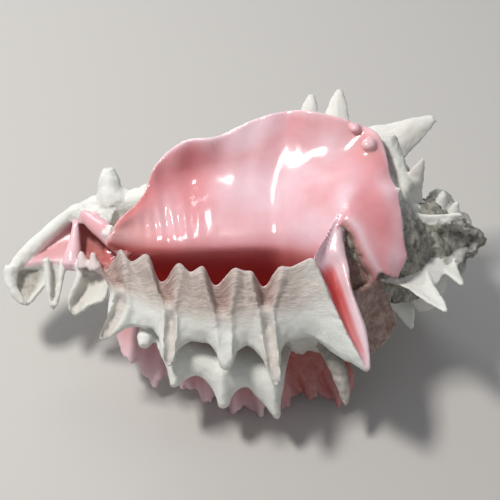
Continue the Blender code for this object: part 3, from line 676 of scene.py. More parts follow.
# The shield: rows from the canal end to the shoulder end, each from its root to its free edge
shield = {
    "rows": [
        [(-38.4, -6.6, 10.1), (-37.5, -7.2, 12.5), (-36.8, -6.7, 13.9), (-36.2, -5.8, 14.8), (-36, -4.5, 15), (-35.5, -2.3, 15.2)],
        [(-31.6, -7.3, 4.9), (-30.9, -7.2, 9), (-30.3, -5.2, 11.9), (-29.8, -1.7, 13.4), (-29.2, 2.2, 15.3), (-28.3, 6.1, 17.1)],
        [(-24.6, -6.1, -5.4), (-24, -7.7, 7), (-23.6, -5.8, 10.9), (-23.6, 0.7, 13.3), (-24.1, 8.1, 16.8), (-24.3, 13.1, 21.9)],
        [(-17.9, -6.4, -7.1), (-16.9, -8.5, 6.7), (-16.2, -6.6, 11.6), (-15.9, 1.1, 14.2), (-15.9, 12, 17.1), (-15.4, 16.5, 26.7)],
        [(-9.7, -6.8, -8.1), (-8.7, -8.8, 6.8), (-8.1, -6.9, 11.7), (-7.3, 1.9, 15.5), (-6.6, 12, 19.5), (-5.7, 17, 27.4)],
        [(-1.5, -6.9, -8.8), (-0.6, -9.1, 6.9), (0, -7.2, 11.8), (0.5, 2.5, 15.5), (2, 12.8, 20.7), (5.4, 21.4, 29.5)],
        [(5.9, -6.9, -9.4), (7.2, -9.3, 6.2), (8.3, -7.2, 11.2), (9.8, 2, 15.4), (12.4, 12.9, 21), (15.8, 22.2, 30.2)],
        [(12.5, -8.1, -9), (14.5, -10.9, 6.1), (16.4, -8.6, 11.3), (18.9, 0.1, 15.8), (22.7, 10.2, 21.7), (28.4, 18.2, 28.9)],
        [(17.1, -6.8, -10.1), (19.9, -14, 9.6), (22.6, -11.4, 15.1), (26.1, -5.1, 19.1), (30.3, 3.7, 21.6), (37, 12.7, 27.1)],
        [(24.7, -9.6, 14.7), (25.3, -9.9, 16.4), (26.5, -9.6, 18.6), (30.1, -5.6, 19.3), (34.3, -1.6, 20), (39.3, 2, 19.3)],
        [(27.3, -11.1, 13), (28.1, -11.4, 14.7), (29.8, -11.7, 16.8), (33, -9.4, 16.9), (36.9, -6.2, 17.2), (41, -3.8, 15.4)],
        [(29.4, -15.3, 8.7), (30.3, -14.9, 11), (31.9, -14.8, 13), (35.1, -13.8, 12.8), (38.6, -12.6, 11.8), (42.4, -10.9, 9.1)],
        [(32.6, -18.4, 3.3), (33.4, -18.1, 5.6), (35.1, -17.8, 8.3), (36.7, -17.9, 7.5), (38, -17.4, 6.5), (39.2, -15.3, 5.4)],
    ],
    "edgeWobble": 0.6,
    "folds": 0.42,              # height of the short folds beside the canal end
    "hollow": 1.6,
    # deeper and paler patches of the glaze, partly its own mottling, partly painted shade in hollows and painted
    # highlights on swells: across, along, half widths, amount
    "deeper": [(0.05, 0.86, 0.08, 0.22, 0.35), (0.26, 0.80, 0.05, 0.20, 0.34), (0.08, 0.92, 0.12, 0.14, 0.30), (0.87, 0.74, 0.05, 0.16, 0.40),
               (0.70, 0.55, 0.04, 0.20, 0.12), (0.50, 0.86, 0.07, 0.10, 0.10), (0.62, 0.95, 0.08, 0.08, 0.14),
               (0.78, 0.62, 0.04, 0.15, 0.16)],
    "paler": [(0.44, 0.66, 0.13, 0.18, 1.0), (0.40, 0.94, 0.06, 0.10, 1.0), (0.58, 0.88, 0.05, 0.12, 0.9),
              (0.67, 0.62, 0.04, 0.18, 0.9), (0.95, 0.85, 0.05, 0.12, 0.9), (0.20, 0.58, 0.06, 0.12, 0.6),
              (0.78, 0.90, 0.04, 0.08, 0.7), (0.62, 0.42, 0.10, 0.12, 0.8)],
    "bumps": [(33.9, 10.6, 27.4, 2.1), (38.3, -2.2, 19.4, 2.2), (30.5, 15.5, 29.0, 1.5)],
}


def buildShield():
    face = surfaceThrough(shield["rows"], 200, 100)
    normal = normalsOf(face)
    normal = normal * np.sign(np.sum(normal * np.array([0, -1.0, 1.0]), -1, keepdims=True))
    t = np.linspace(0, 1, 100)[None, :]
    u = np.linspace(0, 1, 200)[:, None]
    relief = t ** 4 * shield["edgeWobble"] * (np.sin(26 * u) + 0.8 * np.sin(47 * u + 1.0) + 0.5 * np.sin(89 * u))
    folds = np.sin(2 * math.pi * (u * 27 + 1.3 * t)) * bell(u, 0.19, 0.09) * bell(t, 0.56, 0.14)
    relief = relief + shield["folds"] * folds - shield["hollow"] * bell(u, 0.27, 0.05) * bell(t, 0.80, 0.14)
    relief = relief + 0.5 * np.sin(9 * u + 5 * t) * np.sin(14 * t + 6 * u) * smoothStep(0.35, 0.6, t)
    face = face + normal * relief[..., None]
    # towards the shoulder the glaze lies on the whorl before it
    radius = np.linalg.norm(face[..., 1:], axis=-1)
    turn = np.arctan2(face[..., 2], -face[..., 1]) - coil["lipAngle"] - 2 * math.pi
    s = sizeAt(turn)
    floor = s * spline(sectionBack, sectionRadius, (coil["apex"] - face[..., 0]) / s) + 1.3
    floor = floor * smoothStep(5, 11, face[..., 0]) * smoothStep(0.0, 0.12, t)
    raised = 0.5 * (floor - radius + np.sqrt((floor - radius) ** 2 + 30.0)) * smoothStep(-14, 8, face[..., 0])
    face[..., 1:] *= (1 + raised / radius)[..., None]
    thick = 6.0 - 4.0 * t ** 0.6
    # the glaze deepens to red towards its root, where it turns into the mouth: partly its own colour, partly painted
    # shade
    red = 0.95 * (1 - smoothStep(0.10, 0.46, t + 0 * u))
    for across, along, width, length, amount in shield["deeper"]:
        red = red + amount * bell(u, across, width) * bell(t, along, length)
    pale = 0 * red
    for across, along, width, length, amount in shield["paler"]:
        pale = np.maximum(pale, amount * bell(u, across, width) * bell(t, along, length))
    pale = np.maximum(pale, 0.8 * smoothStep(0.96, 1.0, t))
    frontZone = np.stack([1 - 0.28 * pale, np.clip(red, 0, 1), 0 * red, 0 * red], -1)
    # past the mouth the edge of the glaze is a dull fold; the glaze below it is coloured dark red-brown as painted
    # shade of the hollow
    paintedShadeFlank = (1 - smoothStep(0.16, 0.34, t)) * smoothStep(0.68, 0.74, u)
    frontZone = frontZone * (1 - paintedShadeFlank[..., None]) + np.array([0.34, 0.9, 0.8, 0.0]) * paintedShadeFlank[..., None]
    rim = bell(t, 0.36, 0.09) * smoothStep(0.74, 0.80, u)
    frontZone = frontZone + np.array([-0.35, 0.05, 0.35, 0.3]) * rim[..., None]
    turned = smoothStep(0.56, 0.68, u)[..., None]
    inward = unit(-normal * (1 - turned) + np.array([0, 0.707, -0.707]) * turned)
    thick = thick + 5.5 * bell(t, 0.42, 0.26) * (1 - smoothStep(0.50, 0.62, u))
    thick = thick * (1 - turned[..., 0]) + 2.4 * turned[..., 0]
    backZone = np.stack(np.broadcast_arrays(0.9 * turned[..., 0], 0.3 * turned[..., 0], 0 * thick, 0.1 + 0 * thick), -1)
    addPlate(face, face + inward * thick[..., None], frontZone, backZone)
    for x, y, z, size in shield["bumps"]:
        addKnob((x, y, z), (size, size, size * 0.7), 0.0, 0.0, (0.85, 0, 0, 0))


# Spines and frills. Roots and tips are x, radius and degrees round the axis
spines = {
    "tipWidth": 0.26,
    "rootFlare": 0.8,
    "thickness": 1.9,
    "troughBand": 0.15,
    "underside": [(42.0, 26.0, 6.0, -0.15), (59.0, 18.0, 4.8, 0.0), (73.0, 20.0, 4.8, 0.0), (87.0, 29.0, 4.8, 0.12)],
    "back": [
        ((30, 23, 147), (53, 34.8, 146), 8.4), ((23, 18, 152), (27, 45.8, 150), 7.4),
        ((14, 17, 152), (19, 44.8, 150), 6.8), ((2, 13, 152), (3, 31, 150), 4.6),
        ((38, 14, 85), (41.5, 22.5, 85), 3.6), ((43, 12, 118), (48.5, 25, 108), 4.0),
        ((41, 13, 14), (51.8, 30.5, 7), 5.2), ((51, 6, 12), (57, 19.5, 6), 3.6),
        ((40, 13, -58), (44, 25.5, -62), 4.6), ((47, 8, 80), (58, 13.5, 74), 3.8),
        ((52, 6, 128), (54, 14, 120), 2.6), ((56, 5, 128), (57.5, 11, 120), 2.2),
    ],
    "thirdWeb": [(-39, 22, -36), (-34.5, 29, -40), (-29.8, 34.5, -42), (-22, 35.5, -42), (-17, 39, -42),
                 (-12.5, 41, -42), (-3.2, 44.6, -42), (3, 44, -42), (8.7, 42.5, -42), (13.8, 40.5, -40),
                 (19, 42, -41), (25.2, 43.5, -42), (26, 38, -34)],
    "thirdBase": [(-30, -28), (-20, -30), (-5, -34), (10, -36), (24, -36)],
    "cream": ([(18.6, -25.6, -6.2), (20.5, -30, -9), (22.8, -34.0, -12.5), (24.0, -37.8, -16.8), (24.6, -40.3, -20.4)], [3.2, 2.6, 2.2, 1.7, 0.8]),
    "bump": ([(-27, -24, -4), (-28.6, -27.5, -4.5), (-28.8, -29.6, -4.8)], [3.0, 2.4, 1.2]),
    "neck": ([(38.8, 17.3, 22.6), (40.7, 12.7, 19.9), (41.8, 9.2, 18.3), (43.2, 5.1, 16.1), (43.8, 2.4, 14.4)], [3.4, 2.6, 2.1, 2.5, 1.2]),
    "ruffle": 1.4,
    "rufflePitch": 7.2,
    "varices": [-147, -238],
    "spireVarices": range(-382, -1340, -60),
}


def addFrill(base, edge, thick, zoneAt, ruffle=0.0):
    base = np.asarray([(x, whorlRadius(x, degrees) - 1.6, degrees) for x, degrees in base], float)
    edge = np.asarray(edge, float)
    t = np.linspace(0, 1, 240)
    low = spline(np.linspace(0, 1, len(base)), base, t)
    high = spline(np.linspace(0, 1, len(edge)), edge, t)
    h = np.linspace(0, 1, 40)[:, None]
    grid = low[None] * (1 - h[..., None]) + high[None] * h[..., None]
    phase = 2 * math.pi * high[:, 0] / spines["rufflePitch"]
    grid[..., 2] += 2.2 * ruffle * np.sin(phase)[None] * h ** 1.5
    grid[..., 1] += ruffle * (0.9 * np.cos(phase) + 0.5 * np.sin(2.7 * phase))[None] * h ** 3
    front = polar(grid[..., 0], grid[..., 1], grid[..., 2])
    zone = zoneAt(h, np.sin(phase)[None], high[None, :, 0])
    lines = np.stack(np.broadcast_arrays(h * 14.0, t[None] * 60, 0.6), -1)
    addSheet(front, thick * (1.0 - 0.3 * h), zone, zone, lines, lines)


def pinkFrill(h, wave, x):
    dimple = smoothStep(0.0, 0.9, -wave) * bell(h, 0.60, 0.25)
    # painted shade: the right part of the frill, deep under the second row, is coloured dark red-brown and greyer
    paintedShade = smoothStep(4, 11, x)
    red = np.clip(0.34 * dimple + 0.30 * (1 - h) + 0.75 * paintedShade, 0, 1)
    pale = smoothStep(0.75, 1.0, h) * (1 - paintedShade)
    parts = np.broadcast_arrays(0.90 - 0.14 * pale - 0.40 * paintedShade, red, 0.7 * paintedShade, 0.40 * (1 - paintedShade) + 0 * wave)
    return np.stack(parts, -1)


def buildSpines():
    tree = spineTree()
    addDrape(lip, lipFront, lipBack)
    addDrape(secondRow, rowFront, rowBack)
    addFrill(spines["thirdBase"], spines["thirdWeb"], 2.3, pinkFrill, spines["ruffle"])
    for degrees in spines["varices"]:
        addLamella(degrees, [33, 41, 53, 63, 73, 83, 93, 101], [5, 8, 6.5, 8, 6.5, 8, 5, 3], 0.3)
    addTube(*spines["cream"], (0.1, 0.3, 0.45, 0.4), 16)
    addTube(*spines["bump"], chalk, 16)
    addTube(*spines["neck"], (0.0, 0.0, 0.25, 0.0), 16)
    rest = [spineOnWhorl(spines["varices"][0], *row) for row in spines["underside"]]
    addSpines("undersideSpines", tree, rest, 0.75, 0.4)
    addSpines("backSpines", tree, [spineBetween(*row) for row in spines["back"]], 0.4, 0.0)
    small = []
    for degrees in spines["spireVarices"]:
        small.append(spineOnWhorl(degrees, 41.0, 9.0, 4.6))
        worn = float(smoothStep(-380, -700, degrees))
        addLamella(degrees, [31, 36, 41, 47], [5, 9, 10, 6], 0.2, 0.5 * worn)
    addSpines("spireSpines", tree, small, 0.5, 0.2, 0.7)


# The big shoulder spine: rows of front margin, flank, keel, flank and rear margin, mouth to tip
shoulderSpine = {
    "rows": [
        [(23.9, -10.5, 20.8), (24.4, -9.5, 20.9), (24.7, -8.6, 20.7), (25.3, -7.9, 20.4), (25.8, -7.9, 19.3)],
        [(20.7, -16.8, 19.8), (21.8, -14.4, 18.1), (23.1, -13.5, 17.9), (24.5, -13.2, 18.2), (25.8, -13.2, 17)],
        [(17.6, -22.8, 18), (19.4, -20, 15.7), (21.6, -18.2, 15.3), (24.2, -18, 16.3), (26.3, -18.4, 14.8)],
        [(19, -25.7, 16), (21, -23.1, 12), (23.2, -21.2, 12.2), (25.3, -21.3, 14), (26.9, -21.8, 13.3)],
        [(20.9, -29.3, 13.3), (22.9, -26.5, 9.4), (24.8, -26, 10.3), (26.4, -26.7, 12.4), (27.3, -26.8, 11.3)],
        [(22.4, -33.5, 10), (24.5, -30.8, 7), (26.4, -31, 8.2), (27.9, -31.6, 9.5), (28.9, -31.6, 8.4)],
        [(25.2, -37.9, 6.3), (26.5, -36.2, 3.9), (28.1, -36.6, 5), (29.7, -37.1, 5.8), (30.7, -37, 4.9)],
        [(28.3, -42.6, 2), (29.1, -41.4, 1), (30, -41.5, 1.4), (30.7, -41.4, 2), (31.1, -41.5, 1.3)],
        [(29.9, -45.1, -1.1), (30.3, -44.8, -1.4), (30.5, -44.8, -1.5), (30.9, -44.6, -1.3), (31.2, -44.6, -1.3)],
    ],
    # the hollow behind it, from the inner side of the fold to the back of the spine, coloured dark red-brown as painted
    # shade
    "hollow": [
        [(24.6, -9.6, 17.7), (24.8, -9.6, 17.7), (24.8, -10.3, 17.5), (24.5, -11.4, 17.9)],
        [(28.1, -11.6, 14.9), (27, -12.5, 13.6), (25.6, -13.7, 13.1), (24.5, -16.9, 14.5)],
        [(30.8, -15.1, 10.8), (29.1, -16.7, 8.3), (27.1, -18.4, 7.2), (25.4, -23.1, 10.2)],
        [(34, -18.5, 5.6), (31.7, -20.4, 1.9), (29.1, -22.5, 0.9), (26.9, -29.3, 6.8)],
        [(37.5, -20.1, -0.7), (34.9, -21.7, -5.1), (31.8, -25.3, -6.5), (28.9, -35.5, 2.5)],
        [(39.2, -21.4, -10.1), (36.6, -23.3, -13.9), (33.7, -28, -12.4), (30.1, -40.4, -0.5)],
    ],
}


def buildShoulderSpine():
    face = surfaceThrough(shoulderSpine["rows"], 130, 70)
    t = np.linspace(0, 1, 130)[:, None]
    q = np.linspace(0, 1, 70)[None, :]
    below = smoothStep(0.28, 0.38, t) * (1 - smoothStep(0.80, 0.98, t))
    red = (1 - smoothStep(0.34, 0.56, q)) * smoothStep(0.02, 0.10, q) * below * (1.0 - 0.45 * smoothStep(0.5, 0.85, t))
    # paler along the rear side and at both ends of the spine: partly its own pale glaze, partly a painted highlight on
    # the wing
    pale = np.maximum(smoothStep(0.45, 0.62, q), 0.7 * (1 - below))
    glazed = smoothStep(0.0, 0.10, q) + (1 - smoothStep(0.28, 0.38, t))
    zone = np.stack(np.broadcast_arrays((1 - 0.44 * pale) * np.clip(glazed, 0.2, 1), red, 0 * red, 0 * red), -1)
    away = np.array([0, 0.707, -0.707])
    # the back of the spine is pale pink near the mouth and dark red-brown further down, the dark part being painted
    # shade
    addPlate(face, face + away * (1.6 + 1.2 * q[..., None]), zone, np.where((t < 0.42)[..., None], (0.8, 0.05, 0, 0), (0.3, 0.9, 0.8, 0)) + 0 * zone)
    face = surfaceThrough(shoulderSpine["hollow"], 50, 40)
    # the hollow's face is coloured dark red-brown as painted shade
    addPlate(face, face + away * 3.0, (0.32, 1.0, 0.9, 0.0), chalk)


# The siphonal canal, from its mouth to its tip: far rim, wall, floor, near rim
canal = {
    "rows": [
        [(-38, 7.5, 6.2), (-37.7, 7.6, 2.2), (-37, 3, 1.6), (-35.9, -3.6, 3)],
        [(-42.3, 9.7, 6.7), (-42.6, 9, 1.9), (-42.2, 3.4, 0.3), (-41.2, -5.5, 1.4)],
        [(-46.5, 11, 7.3), (-47, 9.8, 3), (-47, 4.5, 0.8), (-46.1, -4.1, 1.1)],
        [(-51.2, 9.5, 5.1), (-51.6, 8.2, 1.8), (-51.5, 3.9, 0.5), (-50.9, -2.3, 1.2)],
        [(-55.9, 7.6, 3), (-56.2, 6.6, 0.5), (-56.1, 3.6, -0.5), (-55.5, -1, 0.9)],
        [(-60.6, 5.3, 0.5), (-60.8, 5, -0.8), (-60.7, 3.1, -1.2), (-60.4, 0.1, -0.7)],
        [(-64.6, 2.6, -0.9), (-64.7, 2.7, -1.8), (-64.7, 1.9, -2.1), (-64.4, -0.2, -1.7)],
        [(-66.8, 0.3, -2), (-66.9, 0.4, -2.5), (-66.9, -0, -2.8), (-66.7, -1.1, -2.5)],
    ],
    "troughGrey": (0.45, 0.14, 0.0),
    "margins": [(1.9, 0.9), (1.1, 1.0), (1.3, 1.0)],
    # three folded spines along the near side, each from its top to its tip
    "scoops": [
        [
            [(-66.5, -0.3, -0.6), (-64.6, 1.4, -2.1), (-61.4, 2.1, -2.6), (-58.4, 1.1, -1.8), (-56.3, -0.4, -0.4)],
            [(-67.5, -3.1, -2.4), (-66, -1.3, -4.8), (-62.7, -0.8, -5.5), (-59.1, -1.6, -4.5), (-56.7, -3.2, -2.3)],
            [(-66.6, -6.4, -4.7), (-65.3, -4.9, -6.3), (-63.2, -4.4, -7), (-60.2, -5.2, -6), (-57.8, -6.1, -4)],
            [(-64.8, -8.3, -6.8), (-64.1, -7.8, -7.4), (-63, -7.6, -7.7), (-61.6, -7.6, -7.4), (-60.2, -7.8, -6.1)],
            [(-63.2, -9.4, -8), (-62.9, -9.5, -8.1), (-62.8, -9.5, -8.1), (-62.6, -9.5, -8.1), (-62.4, -9.3, -8)],
        ],
        [
            [(-56.7, -0.7, 2.3), (-56, 0.4, 0.3), (-54.8, 0.7, -0.5), (-53.2, 0.4, 0.1), (-51.4, -1.6, 2)],
            [(-56.3, -3.3, 0.2), (-55.8, -2, -1.6), (-54.8, -1.9, -2.1), (-53.6, -2, -1.7), (-51.8, -3.8, 0.3)],
            [(-56.2, -6.8, -2.9), (-55.8, -5.8, -4.4), (-54.9, -5.6, -4.8), (-54, -5.8, -4.6), (-52.6, -7.1, -2.5)],
            [(-56, -9.8, -5.9), (-55.7, -9, -6.7), (-55.1, -8.8, -7), (-54.5, -9, -6.8), (-53.6, -10.1, -5.3)],
            [(-55.6, -11.3, -7.9), (-55.3, -11.5, -8.1), (-55.2, -11.5, -8.2), (-54.9, -11.5, -8.2), (-54.6, -11.3, -7.6)],
        ],
        [
            [(-47.3, -3.8, 2.5), (-45.5, -3.1, 0), (-43.3, -3.9, -0.9), (-40.8, -6.7, 0.2), (-38.2, -10.3, 1.4)],
            [(-47.1, -7.1, 0.2), (-45.8, -6.4, -2.2), (-44.2, -7.1, -3.1), (-42, -9.9, -2), (-39.2, -12.4, -0.7)],
            [(-49, -9.1, -2.7), (-47.7, -8.2, -4.9), (-45.7, -9.3, -5.1), (-43.2, -11.6, -3.6), (-40.1, -14, -2.2)],
            [(-50.5, -11.1, -5.6), (-49.6, -10.6, -7.1), (-47.8, -11, -6.7), (-46.2, -12.4, -5.7), (-44, -13.5, -4.4)],
            [(-50.1, -13.2, -8.3), (-49.6, -13.3, -8.8), (-49.1, -13.4, -9), (-48.4, -13.5, -8.7), (-47.5, -13.5, -7.7)],
        ],
    ],
    "rim": ([(-47, 10.9, 8.2), (-49.3, 10.6, 7.1), (-52.3, 9.7, 5.4), (-55.9, 8, 3.4), (-59.4, 6.1, 1.2), (-62.6, 3.7, -0.5), (-65.1, 1.1, -1.3), (-66.5, -1.4, -2.3), (-66.8, -3.9, -3.7), (-65.9, -6.3, -5.7), (-64, -8.3, -7.3)],
            [2.2, 2.2, 2.1, 2.1, 2.1, 2.0, 1.8, 1.5, 1.3, 1.1, 0.8]),
    "partition": ([(-48.1, 8.6, 7), (-48.2, 5.7, 5.6), (-48.5, 2.6, 4), (-48.9, -0.8, 2.6), (-49.1, -3, 0.9), (-49.2, -3.9, -0.5)], [0.9, 1.2, 1.7, 2.5, 3.0, 1.6]),
    "fold": ([(-44.9, 7.2, 9.3), (-42.5, 4.3, 9.2), (-39.4, 0.7, 9.5), (-36.8, -2.6, 9), (-34.5, -5.6, 8.8), (-32.4, -7, 7.3)], [1.8, 2.3, 2.6, 2.5, 2.1, 1.4]),
    "teeth": [
        ([(-45.4, -6.5, 2.7), (-45.8, -4.6, 4.7), (-46, -3.2, 6)], [2.0, 1.4, 0.7]),
        ([(-42, -7.9, 3.1), (-42.4, -5.9, 5), (-42.5, -4.4, 6.6)], [2.0, 1.4, 0.7]),
    ],
    "flaps": [
        ([(-45.1, 6.5, 7.7), (-45.4, 7.4, 9.5), (-45.8, 7.8, 11)], [2.2, 1.4, 0.6]),
        ([(-41.6, 5.1, 8), (-41.9, 5.9, 9.9), (-42.1, 6.9, 10.9)], [2.2, 1.5, 0.7]),
    ],
    # chalky scales of the fasciole
    "scales": [
        ([(-48.7, 10.1, 7.5), (-44.7, 10.8, 8.5), (-40.1, 11.2, 9), (-35, 11, 9.5), (-30.4, 11.3, 10.5), (-26.4, 11.8, 11.7)], [2.0, 2.6, 3.2, 3.4, 3.2, 2.5]),
        ([(-44, 9.1, 8.2), (-40, 7.7, 8.5), (-36.5, 6.3, 8.8)], [2.5, 3.0, 2.5]),
        ([(-38.1, 11.2, 9.9), (-38.1, 13.3, 13), (-38.1, 15.4, 15.6), (-38.2, 17.1, 17.8)], [4.2, 3.3, 2.9, 1.6]),
        ([(-29.1, 11.3, 10.4), (-28.7, 13.1, 12.1), (-27.7, 14.3, 13.2)], [2.4, 1.6, 0.6]),
        ([(-31.3, 11.3, 10.5), (-31.2, 12.7, 11.9), (-31.4, 13.7, 12.9)], [2.2, 1.5, 0.6]),
        ([(-33.8, 11.3, 10.7), (-34.2, 12.7, 12.1), (-34.7, 13.9, 13.3)], [2.4, 1.7, 0.8]),
        ([(-42.1, 11.2, 9.1), (-42.8, 12.3, 10.4), (-43.9, 12.7, 10.8)], [2.2, 1.6, 0.8]),
    ],
    "knobs": [
        ((-37, 12, 10), (3.6, 4.4, 5), 0.16, 0.4), ((-31, 12, 7.5), (4.2, 4.5, 4.8), 0.16, 1.3),
        ((-38, 11, 6), (7, 5, 5), 0.08, 0.7), ((-25, 11, 5), (7, 7, 8), 0.08, 3.0),
    ],
    "ridge": [(-2, 5, -3), (-10, 8, -4), (-18, 9, -3), (-26, 10, -1), (-33, 9.5, 0), (-38, 10, 2), (-41, 10, 2.5)],
    "ridgeRadius": [8, 9.5, 9.5, 8.5, 6.5, 4.5, 2],
}


def buildCanal():
    face = surfaceThrough(canal["rows"], 150, 70)
    q = np.linspace(0, 1, 70)[None, :]
    u = np.linspace(0, 1, 150)[:, None]
    # towards the mouth the canal is redder, greyer and darker
    mouth = 1 - smoothStep(0.25, 0.50, u)
    glazed = 1.0 - 0.16 * (1 - mouth) * (1 - bell(q, 0.5, 0.3)) - 0.5 * mouth
    zone = np.stack(np.broadcast_arrays(glazed, 0.80 * mouth + 0.10 + 0 * q, 0.8 * mouth, 0.30 * (1 - mouth)), -1)
    thick = (2.4 + 1.4 * bell(q, 0.55, 0.4)) * (1 - 0.75 * smoothStep(0.65, 1.0, u))
    thick = thick[..., None]
    addPlate(face, face + thickerAway(face, (-50, -10, 40), 1.0) * thick, zone, chalk)
    for rows, troughGrey, margins in zip(canal["scoops"], canal["troughGrey"], canal["margins"]):
        face = surfaceThrough(rows, 60, 50)
        inside = np.sin(np.linspace(0, math.pi, 50))[None, :] ** 1.5
        t = np.linspace(0, 1, 60)[:, None]
        blush = 0.5 * (1 - smoothStep(0.0, 0.22, t))
        # each trough is greyer along its middle
        zone = np.stack(np.broadcast_arrays(blush, 0 * t, troughGrey * inside, 0.25 * inside), -1)
        addPlate(face, face + np.array([0, 0.707, -0.707]) * (1.5 + 0.8 * inside[..., None]), zone, chalk)
        for edge, stout in zip((face[:, 1], face[:, -2]), margins):
            addTube(edge[4:-3:3], np.linspace(stout, 0.6, len(edge[4:-3:3])), chalk, 12)
    addTube(*canal["rim"], chalk, 20)
    addTube(*canal["partition"], (0.74, 0.05, 0.0, 0.15), 18)
    addTube(*canal["fold"], (0.84, 0.22, 0.0, 0.10), 18)
    for centres, radii in canal["teeth"]:
        addTube(centres, radii, (0.35, 0.1, 0.0, 0.5), 14)
    for centres, radii in canal["flaps"]:
        addTube(centres, radii, (0.55, 0.35, 0.1, 0.4), 14)
    for centres, radii in canal["scales"]:
        addTube(centres, radii, (0.0, 0.0, 0.14, 0.0), 18)
    for centre, radii, bumps, turn in canal["knobs"]:
        addKnob(centre, radii, bumps, turn, (0.0, 0.0, 0.14, 0.0))
    addTube(canal["ridge"], canal["ridgeRadius"], chalk, 28)
    # overlapping scales stand along the outside of the ridge
    path = spline(np.arange(7), canal["ridge"], np.linspace(1.4, 5.8, 11))
    reach = spline(np.arange(7), canal["ridgeRadius"], np.linspace(1.4, 5.8, 11))
    places = []
    for i, (point, radius) in enumerate(zip(path, reach)):
        for degrees in (150, 195, 240):
            out = unit(polar(0.0, 1.0, degrees + 9 * math.sin(7.0 * i)) + np.array([-0.45, 0.0, 0.0]))
            size = 3.4 + 1.1 * math.sin(3.1 * i + degrees)
            grow = unit(np.array([-0.9, 0.0, 0.0]) + out * 0.4)
            places.append((point + out * (radius - 1.2), out, grow, size, 2.4 + 0.5 * math.cos(2.3 * i)))
    addSpines("fascioleScales", spineTree(), places, 0.5, 0.3, 0.08)


# Surface finish: every colour is linear, every length in millimetres
finish = {
    "voxel": 0.5,
    "triangles": 190000,
    "pitSize": 1.6,
    "pitDepth": 0.20,
    "lumpSize": 6.0,
    "lumpDepth": 0.70,
    "lineDepth": 0.07,
    "waveSize": 5.0,            # soft waves of the wet looking glaze
    "waveDepth": 0.16,
    "seed": 7.0,
    "chalk": (0.74, 0.75, 0.70, 1),
    "chalkShade": (0.52, 0.48, 0.40, 1),
    "pink": (0.68, 0.29, 0.31, 1),
    "peach": (0.72, 0.35, 0.30, 1),
    "palePink": (0.80, 0.58, 0.63, 1),
    "red": (0.50, 0.070, 0.060, 1),
    "band": (0.50, 0.37, 0.33, 1),
    "bandLine": (0.20, 0.115, 0.085, 1),
    "worn": (0.085, 0.072, 0.050, 1),
    "wornPale": (0.34, 0.33, 0.27, 1),
}


